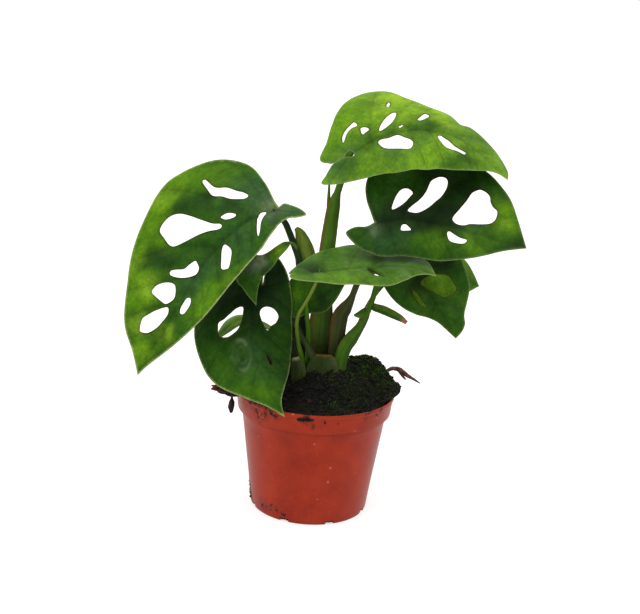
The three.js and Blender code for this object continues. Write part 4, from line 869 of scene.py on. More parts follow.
class LeafSurface:
    """The bent surface of a leaf, with u along the midrib and v across it, left half v > 0.

    Each half leaves the midrib at its fold angle, and turns on by its curl angle over the
    leaf's width. The halves also wave up and down towards their edges.
    """

    PER_SPAN = 60
    HEADING_REACH = 2
    NORMAL_REACH = 0.5
    WAVES = 3
    WAVE_SHIFT = 1.7

    def __init__(self, leaf):
        self.line = catmull_rom(leaf["midrib"], self.PER_SPAN)
        self.run = along(self.line)
        self.length = self.run[-1]
        self.face = unit(np.array(leaf["face"], float))
        self.fold = np.radians([leaf["fold"], leaf.get("fold_tip", leaf["fold"])])
        self.curl = np.radians([angle or 0.001 for angle in leaf["curl"]]) / leaf["width"]
        self.width = leaf["width"]
        self.wave = leaf.get("wave", 0)

    def on_rib(self, u):
        places = np.clip(u, 0, self.length)
        return np.stack([np.interp(places, self.run, self.line[:, k]) for k in range(3)], -1)

    def point(self, u, v):
        share = np.clip(u / self.length, 0, 1)
        half = (v < 0).astype(int)
        ahead = self.on_rib(np.clip(u, 0, None) + self.HEADING_REACH)
        heading = unit(ahead - self.on_rib(np.minimum(u, self.length) - self.HEADING_REACH))
        up = self.face[0] + (self.face[1] - self.face[0]) * share[:, None]
        up = unit(up - heading * np.sum(up * heading, axis=1, keepdims=True))
        side = np.cross(up, heading)
        start = self.fold[0][half] * (1 - share) + self.fold[1][half] * share
        turn = self.curl[half]
        across = np.abs(v)
        reach = (np.sin(start + turn * across) - np.sin(start)) / turn
        rise = (np.cos(start) - np.cos(start + turn * across)) / turn
        wave = np.sin(2 * math.pi * self.WAVES * share + half * self.WAVE_SHIFT)
        rise += self.wave * wave * (across / self.width) ** 2
        centre = self.on_rib(u) + heading * np.minimum(u, 0)[:, None]
        return centre + side * (np.where(v < 0, -reach, reach))[:, None] + up * rise[:, None]

    def normal(self, u, v):
        step = self.NORMAL_REACH
        lengthways = self.point(u + step, v) - self.point(u - step, v)
        crossways = self.point(u, v + step) - self.point(u, v - step)
        return unit(np.cross(lengthways, crossways))


def leaf_outline(leaf, length):
    """The blade's flat outline: up its left side to the tip, and back along its right side."""
    tip = (length, 0)
    left = resampled(catmull_rom([*leaf["left"], tip], 12), BLADE["edge_step"])
    right = resampled(catmull_rom([leaf["left"][0], *leaf["right"], tip], 12), BLADE["edge_step"])
    return np.vstack([left, right[::-1][1:-1]])


def leaf_holes(leaf):
    rounded = [catmull_rom(hole, 12, True) for hole in leaf.get("holes", ())]
    return [resampled(hole, BLADE["edge_step"], True) for hole in rounded]


def grown(polygon, amount):
    """The closed polygon with each point moved outwards, or inwards for a negative amount."""
    before, after = np.roll(polygon, 1, 0), np.roll(polygon, -1, 0)
    area = np.sum(polygon[:, 0] * after[:, 1] - polygon[:, 1] * after[:, 0])
    heading = unit(after - before) * math.copysign(amount, area * amount)
    return polygon + np.stack([heading[:, 1], -heading[:, 0]], 1)


def inside(points, polygon):
    """Whether each flat point lies inside the closed polygon."""
    within = np.zeros(len(points), bool)
    x, y = points[:, 0], points[:, 1]
    for (x1, y1), (x2, y2) in zip(polygon, np.roll(polygon, -1, 0)):
        crosses = (y1 > y) != (y2 > y)
        with np.errstate(divide="ignore", invalid="ignore"):
            within ^= crosses & (x < x1 + (y - y1) * (x2 - x1) / (y2 - y1))
    return within


def on_blade(points, outline, holes):
    within = inside(points, outline)
    for hole in holes:
        within &= ~inside(points, hole)
    return within


def distance_to_line(points, line, closed=False):
    """Distance from each flat point to a line, and how far along the line, 0 to 1, it lies."""
    ends = np.vstack([line, line[:1]]) if closed else line
    best = np.full(len(points), FAR)
    place = np.zeros(len(points))
    pieces = len(ends) - 1
    for k in range(pieces):
        a, d = ends[k], ends[k + 1] - ends[k]
        t = np.clip(((points - a) @ d) / max(d @ d, 1 / FAR), 0, 1)
        gap = np.linalg.norm(points - a - t[:, None] * d, axis=1)
        closer = gap < best
        best[closer] = gap[closer]
        place[closer] = (k + t[closer]) / pieces
    return best, place


def distance_to_loops(points, loops):
    """Distance from each flat point to the nearest of the closed loops."""
    best = np.full(len(points), FAR)
    for loop in loops:
        best = np.minimum(best, distance_to_line(points, loop, True)[0])
    return best


def side_vein(start, end_u, end_v):
    """A side vein leaves the midrib steeply and bends towards the tip."""
    t = np.linspace(0, 1, 9)[:, None]
    bend = np.array([start + 0.35 * (end_u - start), 0.5 * end_v])
    return (1 - t) ** 2 * np.array([start, 0]) + 2 * t * (1 - t) * bend + t**2 * np.array([end_u, end_v])


def hex_grid(low, high, step):
    """Points one step apart in staggered rows, from the corner low to the corner high."""
    rows = np.arange(low[1], high[1], step * math.sqrt(0.75))
    points = []
    for number, v in enumerate(rows):
        u = np.arange(low[0] + (number % 2) * step / 2, high[0], step)
        points.append(np.stack([u, np.full(len(u), v)], 1))
    return np.vstack(points)


def flat_blade(outline, holes):
    """Points and triangles of the flat blade, and which of its points lie along each edge."""
    loops = [outline, *holes]
    grid = hex_grid(outline.min(0), outline.max(0), BLADE["mesh"])
    grid = grid[on_blade(grid, outline, holes)]
    grid = grid[distance_to_loops(grid, loops) > BLADE["clear_of_edge"] * BLADE["mesh"]]
    edges, spans, first = [], [], 0
    for loop in loops:
        count = len(loop)
        edges += [(first + k, first + (k + 1) % count) for k in range(count)]
        spans.append(range(first, first + count))
        first += count
    points = [Vector(p) for p in np.vstack([*loops, grid])]
    result = delaunay_2d_cdt(points, edges, [], 0, 1e-5, False)
    flat = np.array([tuple(p) for p in result[0]])
    triangles = np.array(result[2])
    return flat, triangles[on_blade(flat[triangles].mean(1), outline, holes)], spans


def blade_relief(name, flat, outline, holes, length):
    """Distances to the midrib, side veins and edges, and the strength of each vein there."""
    rib, rib_place = distance_to_line(flat, np.array([[0, 0], [length, 0]]))
    vein = np.full(len(flat), FAR)
    vein_place, band = np.zeros(len(flat)), 0.5 * bell(rib, VEIN["rib_band"])
    for number, ends in enumerate(VEINS[name]):
        gap, place = distance_to_line(flat, side_vein(*ends))
        closer = gap < vein
        vein[closer], vein_place[closer] = gap[closer], place[closer]
        strength = 0.35 + 0.65 * (number * GOLDEN % 1)
        band = np.maximum(band, strength * bell(gap, VEIN["side_band"]) * (1 - 0.5 * place))
    rim, hole = distance_to_loops(flat, [outline]), distance_to_loops(flat, holes)
    return {
        "rib": rib, "rib_weight": 1 - VEIN["rib_fade"] * rib_place,
        "vein": vein, "vein_weight": 1 - VEIN["side_fade"] * vein_place,
        "rim": rim, "hole": hole, "edge": np.minimum(rim, hole), "band": band,
    }


def pinch(name, flat):
    """How far, 0 to 1, each point lies in the dip beyond the edge of a pinched slit."""
    if name not in PINCHED:
        return np.zeros(len(flat))
    start, end, beyond = (np.array(values, float) for values in PINCHED[name])
    gap, _ = distance_to_line(flat, np.array([start, end]))
    return bell(gap, DIP["width"]) * smooth((flat - start) @ unit(beyond), *DIP["deepens"])


def ring_mark(name, flat):
    """The raised oval that a hole which never opened leaves in a blade, with a fainter one inside."""
    if name not in RING_MARKS:
        return np.zeros(len(flat))
    centre, reach = (np.array(values, float) for values in RING_MARKS[name])
    drift = RING["drift"] * flat_field(flat, 0.1, 2)
    from_ring = np.linalg.norm((flat - centre) / reach, axis=1) - 1 + drift
    inner = RING["inner_strength"] * bell(from_ring + RING["inner_gap"], RING["inner_line"])
    return np.maximum(bell(from_ring, RING["line"]), inner)


def camera_axes():
    """The camera's right, up and backward directions."""
    pitch, roll = math.radians(CAMERA["pitch"]), math.radians(CAMERA["roll"])
    back = Vector((0, -math.cos(pitch), math.sin(pitch)))
    level, up = Vector((1, 0, 0)), Vector((0, math.sin(pitch), math.cos(pitch)))
    right = level * math.cos(roll) + up * math.sin(roll)
    return right, up * math.cos(roll) - level * math.sin(roll), back


def in_photo(points):
    """Where points in mm show in the photograph, in pixels from its top left."""
    seen = (points - CAMERA["place"]) @ np.array(camera_axes()).T
    scale = PHOTO["width"] * CAMERA["lens"] / CAMERA["sensor"]
    offset = seen[:, :2] / -seen[:, 2:] * (scale, -scale)
    return offset + ((PHOTO["width"] - 1) / 2, (PHOTO["height"] - 1) / 2)


def painted(name, flat, shown, seed):
    """Patch colours, painted light and shade among them; `shown` says where each point shows in the
    photograph.
    """
    base, patches = PAINT[name]
    colours = np.tile(shade(base), (len(flat), 1))
    drift = [flat_field(flat, PATCH_SCALE, seed + k) for k in range(2)]
    pushed = flat + PATCH_DRIFT * np.column_stack(drift)
    for colour, x, y, reach, strength in patches:
        centre = flat[np.argmin(np.linalg.norm(shown - (x, y), axis=1))]
        share = strength * bell(np.linalg.norm(pushed - centre, axis=1), reach)
        colours = blended(colours, shade(colour), share)
    return colours


def blade_colours(name, flat, shown, relief, seed):
    """Tints for a blade's points: patches with painted light and shade, painted shade along the veins,
    edges and marks.
    """
    colours = painted(name, flat, shown, seed)
    patchy = np.clip(0.6 + 1.6 * flat_field(flat, 0.16, seed + 2), 0, 1)
    band = VEIN_BANDS.get(name, BLADE_LINES["vein_band"]) * relief["band"] * patchy
    colours *= (BETWEEN_VEINS - band)[:, None]
    rim_line = RIM_LINES.get(name, BLADE_LINES["rim"])
    width = VEIN["edge_line"]
    colours = blended(colours, shade("margin"), rim_line * bell(relief["rim"], width))
    colours = blended(colours, shade("hole_rim"), BLADE_LINES["hole"] * bell(relief["hole"], width))
    # The dark lines along the midrib and the side veins are painted shade in their grooves.
    rib_groove_shade = bell(relief["rib"], VEIN["rib_groove_shade"]) * relief["rib_weight"]
    line = np.maximum(rib_groove_shade, BLADE_LINES["side_vein"] * bell(relief["vein"], VEIN["side_groove_shade"]))
    colours *= (1 - BLADE_LINES["vein"] * line)[:, None]
    # The raised ring mark is lightened towards the sheen colour in patches, as a painted sheen where it
    # stands up.
    wear_and_sheen = np.clip(0.5 + 1.8 * flat_field(flat, 0.13, seed + 5), 0.15, 1)
    colours = blended(colours, shade("sheen"), BLADE_LINES["ring_mark"] * wear_and_sheen * ring_mark(name, flat))
    # The dip beyond a pinched slit is darkened as painted shade.
    return colours * (1 - BLADE_LINES["pinch"] * pinch(name, flat))[:, None]


def blade_sides(name, flat, surface, relief, seed):
    """The grooved upper face and the ribbed underside, puffed up between the veins."""
    u, v = flat.T
    middle, out = surface.point(u, v), surface.normal(u, v)
    puffed = 1 - np.exp(-((np.minimum(relief["vein"], relief["rib"]) / PUFF["from_veins"]) ** 2))
    ripple = flat_field(flat, 0.12, seed) * smooth(relief["edge"], 0, PUFF["ripple_from_edge"])
    lift = RELIEF["quilt"] * puffed * smooth(relief["edge"], 0, PUFF["from_edge"])
    lift += RELIEF["ripple"] * ripple
    lift += RELIEF["ring_mark"] * ring_mark(name, flat) - RELIEF["pinch"] * pinch(name, flat)
    rib = bell(relief["rib"], VEIN["rib"]) * relief["rib_weight"]
    rib_under = bell(relief["rib"], VEIN["rib_under"]) * relief["rib_weight"] ** 2
    vein = bell(relief["vein"], VEIN["side"]) * relief["vein_weight"]
    half = BLADE["thickness"] / 2
    above = lift + half - RELIEF["rib_groove"] * rib - RELIEF["vein_groove"] * vein
    below = lift - half - RELIEF["rib_under"] * rib_under - RELIEF["vein_under"] * vein
    return middle, middle + out * above[:, None], middle + out * below[:, None]


def blade_edge(name, surface, loops, spans, count):
    """Points along the blade's edges, and faces that join them to its two sides of count points."""
    points, faces, first = [], [], 2 * count
    for span, loop in zip(spans, loops):
        u, v = loop.T
        dip = RELIEF["pinch"] * pinch(name, loop)[:, None]
        points.append(surface.point(u, v) - surface.normal(u, v) * dip)
        size = len(loop)
        for k in range(size):
            a, b = span[k], span[(k + 1) % size]
            c, d = first + k, first + (k + 1) % size
            faces += [(a, b, d), (a, d, c), (c, d, b + count), (c, b + count, a + count)]
        first += size
    return np.vstack(points), faces


def facing_up(flat, triangles):
    """The triangles, turned over if they face away from the blade's upper side."""
    a, b, c = flat[triangles[0]]
    return triangles[:, ::-1] if np.cross(b - a, c - a) < 0 else triangles


def blade_piece(name, leaf, materials, seed):
    """A blade of two sides, with a rounded pale rim."""
    surface = LeafSurface(leaf)
    outline, holes = leaf_outline(leaf, surface.length), leaf_holes(leaf)
    inner_holes = [grown(hole, BLADE["rounding"]) for hole in holes]
    flat, triangles, spans = flat_blade(grown(outline, -BLADE["rounding"]), inner_holes)
    relief = blade_relief(name, flat, outline, holes, surface.length)
    middle, top, under = blade_sides(name, flat, surface, relief, seed)
    edge, edge_faces = blade_edge(name, surface, [outline, *holes], spans, len(flat))
    triangles = facing_up(flat, triangles)
    faces = [*triangles, *(triangles[:, ::-1] + len(flat)), *edge_faces]
    slots = [0] * (2 * len(triangles)) + [1] * len(edge_faces)
    colours = blade_colours(name, flat, in_photo(middle), relief, seed)
    pale = (1 - BLADE["underside"]) * colours + BLADE["underside"] * shade("under")
    rim = np.tile(shade("hole_rim"), (len(edge), 1))
    rim[:len(outline)] = shade("margin")
    grid = np.vstack([flat, flat, outline, *holes]) / BLADE["uv_unit"]
    piece = add_mesh(f"{name}_leaf", np.vstack([top, under, edge]), faces, slots,
                     np.vstack([colours, pale, rim]), grid, materials)
    dress(piece, [f"{name}_blade"])


# --- Stalks -----------------------------------------------------------------------------------


def side_angles(sides):
    return 2 * math.pi * (np.arange(sides) + 0.5) / sides


def stalk_section(core, wing, sides):
    """A round core, with thin wings that bend forward."""
    angle = side_angles(sides)
    to_wing = np.cos(angle) ** 4
    across = (core + (wing - core) * to_wing) * np.cos(angle)
    forward = core * np.sin(angle) * STALK["flatness"] + (wing - core) * to_wing * STALK["wing_bend"]
    return across, forward


def stalk_rings(path, face, sides, tapered=False):
    """Rings of points along the path, and how far along, 0 to 1, each one is.

    A tapered stalk thins out where it runs into the midrib of its blade.
    """
    per_span = STALK["per_span"]
    values = np.array([[*p, *([0] * (5 - len(p)))] for p in path], float)
    line = catmull_rom(values[:, :3], per_span)
    steps = max(8, round(along(line)[-1] / STALK["step"]))
    places = np.linspace(0, len(path) - 1, steps + 1)
    knots = np.arange(len(path))
    on_line = (places * per_span, np.arange(len(line)))
    centres = np.stack([np.interp(*on_line, line[:, k]) for k in range(3)], 1)
    heading = unit(np.gradient(centres, axis=0))
    core = np.interp(places, knots, values[:, 3])
    wing = np.maximum(np.interp(places, knots, values[:, 4]), core)
    if tapered:
        to_end = along(line)[-1] - along(centres)
        slimmer = STALK["slimmest"] + (1 - STALK["slimmest"]) * smooth(to_end, 0, STALK["taper"])
        core, wing = core * slimmer, wing * slimmer
    sideways = unit(np.cross(heading, np.array(face, float)))
    forward = np.cross(sideways, heading)
    rings = []
    for k in range(steps + 1):
        across, depth = stalk_section(core[k], wing[k], sides)
        rings.append(centres[k] + sideways[k] * across[:, None] + forward[k] * depth[:, None])
    return np.array(rings), places / places[-1]


def outwards(rings):
    """The way out from the middle of its ring for each point of the rings."""
    return unit((rings - rings.mean(1, keepdims=True)).reshape(-1, 3))


def ring_faces(rings, sides, first=0):
    """Faces of a closed tube of rings, whose points are counted from first."""
    faces = []
    for ring in range(rings - 1):
        for side in range(sides):
            a, b = first + ring * sides + side, first + ring * sides + (side + 1) % sides
            faces.append((a, b, b + sides, a + sides))
    faces.append(tuple(first + k for k in reversed(range(sides))))
    faces.append(tuple(first + (rings - 1) * sides + k for k in range(sides)))
    return faces


def stalk_tints(name, flat, share):
    """Tints for a stalk's points, of which `share` says how far along it each ring is."""
    low, high, edge, *tip = (shade(colour) for colour in STALK_COLOURS[name])
    sides = STALK["sides"]
    to_right = np.tile(np.cos(side_angles(sides)), len(share))
    rise = smooth(flat[:, 2] - SOIL["level"], *STALK_TINTS["rise"])
    tint = blended(low, high, rise)
    winged = to_right**8 * np.where(to_right < 0, STALK_TINTS["left"], STALK_TINTS["right"])
    tint = blended(tint, edge, winged * (0.2 + 0.8 * rise))
    # Painted shade: all stalks but the old sheaths are darker on their right, away from the light.
    if not name.startswith("old_sheath"):
        tint *= (1 - STALK_TINTS["shade"] * smooth(to_right, 0.1, 0.9))[:, None]
    if tip:
        tint = blended(tint, tip[0], smooth(np.repeat(share, sides), *STALK_TINTS["tip"]))
    return tint


def stalk_piece(name, paths, material, seed):
    """A stalk with its wings and flaps. A petiole's own path tapers into the blade."""
    sides = STALK["sides"]
    face = SHEATH_FACE if name.startswith("old_sheath") else FRONT
    points, faces, colours, grid = [], [], [], []
    first = 0
    for path in paths:
        tapered = name.endswith("_petiole") and path is paths[0]
        rings, share = stalk_rings(path, face, sides, tapered)
        flat = rings.reshape(-1, 3)
        grain = STALK["grain"] * field(flat, STALK["grain_scale"], seed)
        flat = flat + grain[:, None] * outwards(rings)
        faces += ring_faces(len(rings), sides, first)
        colours.append(stalk_tints(name, flat, share))
        turn = np.tile(np.arange(sides) / sides, len(rings)) * STALK["uv_around"]
        grid.append(np.stack([turn, np.repeat(share, sides)], 1))
        points.append(flat)
        first += len(flat)
    piece = add_mesh(f"{name}_stalk", np.vstack(points), faces, colours=np.vstack(colours),
                     uvs=np.vstack(grid), materials=[material])
    dress(piece, [name])


# --- Pot --------------------------------------------------------------------------------------


def turned_profile():
    """Half the pot's section as (radius, height), with rounded lips, from base to inside floor."""
    axis = 0.01
    base, wall, floor = POT["base_radius"], POT["wall"], POT["floor"]
    foot = POT["height"] - RIM_BAND["height"]
    shoulder = POT["rim_radius"] - RIM_BAND["step"] - RIM_BAND["lean"]
    band = shoulder + RIM_BAND["step"]
    rim, top = POT["rim_radius"], POT["height"]
    lip = top - RIM_BAND["lip_height"]
    underside = [(axis, 1.2), (base - 8, 1.2), (base - 7.2, 0), (base - 1.4, 0), (base - 0.4, 0.35)]
    wall_outside = [
        (base, 1.2), (base + 0.25, 3), (base + 1.9, foot * 0.22), (shoulder - 1.4, foot * 0.86),
        (shoulder - 0.5, foot - 4.4), (shoulder - 0.1, foot - 3.4), (shoulder, foot - 0.9),
    ]
    step = [
        (shoulder + 0.5, foot - 0.45), (band - 0.7, foot - 0.2), (band - 0.15, foot + 0.2),
        (band, foot + 0.9),
    ]
    lip_outside = [
        (rim - 1, lip - 0.5), (rim - 0.45, lip), (rim - 0.1, lip + 0.5), (rim, lip + 1.2), (rim, top - 0.7),
        (rim - 0.25, top - 0.15), (rim - 0.7, top),
    ]
    inside_pot = [
        (rim - wall + 0.3, top - 0.1), (rim - wall, top - 0.6), (band - wall, foot + 2),
        (shoulder - wall, foot - 1), (base - wall + 0.4, floor + 0.4), (base - wall - 0.4, floor),
        (axis, floor),
    ]
    return np.array([*underside, *wall_outside, *step, *lip_outside, *inside_pot], float)


def pot_piece(material):
    """The turned pot with its drain notches."""
    profile = turned_profile()
    sides = POT["sides"]
    angle = 2 * math.pi * np.arange(sides) / sides
    rings = np.stack([
        np.outer(profile[:, 0], np.cos(angle)),
        np.outer(profile[:, 0], np.sin(angle)),
        np.repeat(profile[:, 1:], sides, 1),
    ], -1)
    pot = add_mesh("nursery_pot", rings.reshape(-1, 3), ring_faces(len(rings), sides), materials=[material])
    cutters = [notch_cutter(notch_angle(number)) for number in range(DRAIN["count"])]
    for cutter in cutters:
        cut = pot.modifiers.new("notch", "BOOLEAN")
        cut.operation = "DIFFERENCE"
        cut.object = cutter
        cut.solver = "EXACT"
    apply_modifiers(pot)
    for cutter in cutters:
        bpy.data.objects.remove(cutter)
    shade_by_angle(pot, 35)
    dress(pot, ["pot"])


def notch_angle(number):
    return 2 * math.pi * (number + 0.5) / DRAIN["count"]


def notch_cutter(turn):
    """A block that cuts one drain notch through the foot of the wall."""
    half = np.array([DRAIN["depth"], DRAIN["width"], 2 * DRAIN["height"]]) / 2
    signs = np.array([(x, y, z) for z in (-1, 1) for y in (-1, 1) for x in (-1, 1)])
    corners = signs * half + (POT["base_radius"], 0, 0)
    cos, sin = math.cos(turn), math.sin(turn)
    corners = corners @ np.array([[cos, sin, 0], [-sin, cos, 0], [0, 0, 1]])
    faces = [(0, 2, 3, 1), (4, 5, 7, 6), (0, 1, 5, 4), (2, 6, 7, 3), (0, 4, 6, 2), (1, 3, 7, 5)]
    return add_mesh("notch_cutter", corners, faces)


def apply_modifiers(piece):
    evaluated = piece.evaluated_get(bpy.context.evaluated_depsgraph_get())
    mesh = bpy.data.meshes.new_from_object(evaluated)
    piece.modifiers.clear()
    piece.data = mesh


def shade_by_angle(piece, degrees):
    piece.data.polygons.foreach_set("use_smooth", np.ones(len(piece.data.polygons), bool))
    piece.data.set_sharp_from_angle(angle=math.radians(degrees))


# --- Soil, moss and litter --------------------------------------------------------------------


def soil_height(x, y):
    """Height of the soil: low along the front rim, heaped round the stems and at the right."""
    height = np.full(np.shape(x), float(SOIL["level"]))
    for (at_x, at_y), rise, spread in SOIL["heaps"]:
        height = height + rise * bell(np.hypot(x - at_x, y - at_y), spread)
    crumbs = np.sin(x * 0.55 + y * 0.2) * np.cos(y * 0.5 - x * 0.13) + 0.6 * np.sin(x * 0.9 - y * 1.1)
    return height + 0.8 * crumbs


def soil_reach(angle):
    """The soil's outer radius: inside the rim, but spilling over it at the right."""
    reach = np.full(np.shape(angle), float(SOIL["radius"]))
    turn = (np.degrees(angle) + 180) % 360 - 180
    for towards, spill, spread in SOIL["spills"]:
        reach = reach + spill * bell(turn - towards, spread)
    return reach


def is_spilt(reach):
    return reach > SOIL["radius"] + 1


def soil_top(x, y):
    """The soil's surface, never below the rim where the soil lies over it."""
    over = is_spilt(soil_reach(np.arctan2(y, x))) & (np.hypot(x, y) > SOIL["radius"])
    height = soil_height(x, y)
    return np.where(over, np.maximum(height, POT["height"] + SOIL_BODY["top_over_rim"]), height)


def soil_rings(angle):
    """Rings of the soil as (radius, height): those below its flank, its flank, and its top."""
    reach, around = soil_reach(angle), np.ones(len(angle))
    inwards, down = SOIL_BODY["shoulder"]
    below_top = [
        ((POT["base_radius"] - POT["wall"] - SOIL_BODY["wall_gap"]) * around,
         (POT["floor"] + SOIL_BODY["floor_gap"]) * around),
        ((SOIL["radius"] - inwards) * around, (SOIL["level"] - down) * around),
    ]
    at_wall = SOIL["radius"] * around
    for outer, (inwards, down) in ((at_wall, SOIL_BODY["edge"]), (reach, SOIL_BODY["brim"])):
        radius = outer - inwards
        in_pot = soil_height(*spot(radius, angle)) - down
        foot = np.where(is_spilt(reach), POT["height"] + SOIL_BODY["over_rim"], in_pot)
        below_top.append((radius, foot))
    brow = soil_top(*spot(reach * SOIL_EDGE, angle))
    flank = [(reach * (1 - (1 - SOIL_EDGE) * rise), foot + rise * (brow - foot)) for rise in FLANK["rises"]]
    top = []
    for share in np.linspace(SOIL_EDGE, SOIL_BODY["middle"], SOIL["rings"]):
        top.append((reach * share, soil_top(*spot(reach * share, angle))))
    return below_top, flank, top


def soil_tints(points):
    """Dark peat, warmer in patches, and greenish under the moss."""
    colours = np.tile(shade("soil"), (len(points), 1))
    patches = smooth(field(points, SOIL_PATCHES["scale"], SOIL_PATCHES["seed"]), SOIL_PATCHES["from"],
                     SOIL_PATCHES["to"])
    colours = blended(colours, shade("soil_warm"), SOIL_PATCHES["warm"] * patches)
    mossy = moss_share(points[:, 0], points[:, 1])
    return blended(colours, shade("soil_green"), SOIL_PATCHES["green"] * mossy)


def soil_piece(material):
    """The soil as one body, rough where it shows."""
    sectors = SOIL["sectors"]
    angle = 2 * math.pi * np.arange(sectors) / sectors
    below_top, flank, top = soil_rings(angle)
    rings = [*below_top, *flank, *top]
    points = np.concatenate([np.stack([*spot(radius, angle), height], 1) for radius, height in rings])
    ring = np.arange(len(points)) // sectors
    on_top = ring >= len(below_top) + len(flank)
    on_flank = (ring >= len(below_top)) & ~on_top
    points[:, :2] *= 1 - np.where(on_flank, FLANK["rough"] * np.abs(field(points, 0.5, 7)), 0)[:, None]
    rough = sum(height * field(points, scale, seed) for height, scale, seed in SOIL_ROUGH)
    from_middle = np.hypot(points[:, 0], points[:, 1])
    at_wall = smooth(from_middle, SOIL["radius"] - ROUGH_AT_WALL["over"], SOIL["radius"])
    points[:, 2] += np.where(on_top, rough * (1 - (1 - ROUGH_AT_WALL["left"]) * at_wall), 0)
    soil = add_mesh("potting_soil", points, ring_faces(len(rings), sectors), colours=soil_tints(points),
                    materials=[material])
    dress(soil, ["soil"])


def moss_share(x, y):
    """How mossy the soil is: most on the heap at the right and round the back."""
    share = np.zeros(np.shape(x))
    for (at_x, at_y), spread, amount in MOSS_PATCHES:
        share = np.maximum(share, amount * bell(np.hypot(x - at_x, y - at_y), spread))
    return share


def ball(divisions):
    """Points and faces of a unit ball split from an icosahedron."""
    mesh = bmesh.new()
    bmesh.ops.create_icosphere(mesh, subdivisions=divisions, radius=1)
    points = np.array([tuple(vertex.co) for vertex in mesh.verts])
    faces = np.array([[vertex.index for vertex in face.verts] for face in mesh.faces])
    mesh.free()
    return points, faces


def spot_on_soil(rng, within):
    """A random place on the soil, within a share of its reach."""
    angle = rng.uniform(0, 2 * math.pi)
    return spot(soil_reach(angle) * math.sqrt(rng.random()) * within, angle)


def strewn_crumbs(rng):
    """Crumbs all over the soil, as (x, y, z, size), most of them small."""
    places = []
    for _ in range(CRUMBS["count"]):
        x, y = spot_on_soil(rng, SOIL_EDGE)
        size = CRUMBS["smallest"] + (CRUMBS["largest"] - CRUMBS["smallest"]) * rng.random() ** 3
        places.append((x, y, soil_top(x, y) + CRUMBS["raised"] * size, size))
    return places


def flank_crumbs(rng):
    """Crumbs on the steep side of the soil that is spilt over the rim."""
    places = []
    while len(places) < FLANK["crumbs"]:
        angle = rng.uniform(0, 2 * math.pi)
        reach = soil_reach(angle)
        if is_spilt(reach):
            x, y = spot(SOIL_EDGE * reach, angle)
            height = rng.uniform(POT["height"] + 1.2, soil_top(x, y))
            places.append((x, y, height, rng.uniform(*FLANK["crumb_size"])))
    return places


def notch_shadow_crumbs(rng):
    """Dark crumbs in the drain notches, which stand in for the shadow inside them."""
    places = []
    for notch in NOTCH_SHADOW_CRUMBS["notches"]:
        out_x, out_y = spot(1, notch_angle(notch))
        for _ in range(NOTCH_SHADOW_CRUMBS["crumbs"]):
            radius = POT["base_radius"] - rng.uniform(*NOTCH_SHADOW_CRUMBS["inset"])
            sideways = rng.uniform(-1, 1) * NOTCH_SHADOW_CRUMBS["sideways"] * DRAIN["width"]
            height = rng.uniform(*NOTCH_SHADOW_CRUMBS["height"])
            x, y = radius * out_x - sideways * out_y, radius * out_y + sideways * out_x
            places.append((x, y, height, NOTCH_SHADOW_CRUMBS["size"]))
    return places


def crumb_tint(rng):
    """Dark peat, or now and then the reddish brown of bark."""
    tone = linear(grey(rng.choice(PEAT_GREYS))) * PEAT_TINT
    if rng.random() < CRUMBS["bark_share"]:
        return shade("bark") * rng.uniform(0.4, 1)
    return tone


def crumbs_piece(material, rng):
    """Loose crumbs of peat on the soil, on its spilt side and on the pot, and dark ones in its notches as
    painted shadow.
    """
    round_points, round_faces = ball(2)
    points, faces, colours = [], [], []
    places = [*strewn_crumbs(rng), *flank_crumbs(rng), *CRUMBS_ON_POT, *notch_shadow_crumbs(rng)]
    for number, (x, y, z, size) in enumerate(places):
        stretch = np.array([rng.uniform(*limits) for limits in CRUMBS["stretch"]]) * size / 2
        spin = Matrix.Rotation(rng.uniform(0, 2 * math.pi), 3, "Z")
        turn = spin @ Matrix.Rotation(rng.uniform(-CRUMBS["tilt"], CRUMBS["tilt"]), 3, "X")
        lump = round_points * (1 + CRUMBS["rough"] * field(round_points, 1.6, number % 40)[:, None])
        points.append((lump * stretch) @ np.array(turn).T + (x, y, z))
        faces.append(round_faces + number * len(round_points))
        colours.append(np.tile(crumb_tint(rng), (len(round_points), 1)))
    crumbs = add_mesh("peat_crumbs", np.vstack(points), np.vstack(faces), colours=np.vstack(colours),
                      materials=[material])
    dress(crumbs)


def moss_leaf(base, rng):
    """The four corners of one short pointed leaf."""
    turn, lean = rng.uniform(0, 2 * math.pi), rng.uniform(*MOSS["lean"])
    length = rng.uniform(*MOSS["length"])
    way = np.array([math.cos(turn) * lean, math.sin(turn) * lean, 1.0])
    way /= np.linalg.norm(way)
    side = np.array([-math.sin(turn), math.cos(turn), 0]) * MOSS["width"] / 2
    out = np.cross(way, side) * 2 * MOSS["depth"]
    return [base - side, base + side, base + out, base + way * length]


def moss_piece(material, rng):
    """Cushions of moss, brighter at the tips, and on the heap partly as a painted highlight."""
    leaf_faces = np.array([(0, 1, 3), (1, 2, 3), (2, 0, 3), (0, 2, 1)])
    points, faces, colours = [], [], []
    dark, bright = shade("moss_dark"), shade("moss")
    tufts = 0
    while tufts < MOSS["tufts"]:
        x, y = spot_on_soil(rng, MOSS["within"])
        if rng.random() > moss_share(x, y):
            continue
        tufts += 1
        base = np.array([x, y, soil_top(x, y) - MOSS["sunk"]])
        # Above the rim the tufts are brighter, partly as a painted highlight.
        bright_share = rng.random() ** (1 if base[2] > POT["height"] + MOSS["bright_above"] else 4)
        for _ in range(MOSS["leaves"]):
            faces.append(leaf_faces + len(points))
            points += moss_leaf(base, rng)
            colours += [dark * 0.5] * 3 + [dark + (bright - dark) * bright_share]
    moss = add_mesh("moss", points, np.vstack(faces), colours=np.array(colours), materials=[material])
    dress(moss)


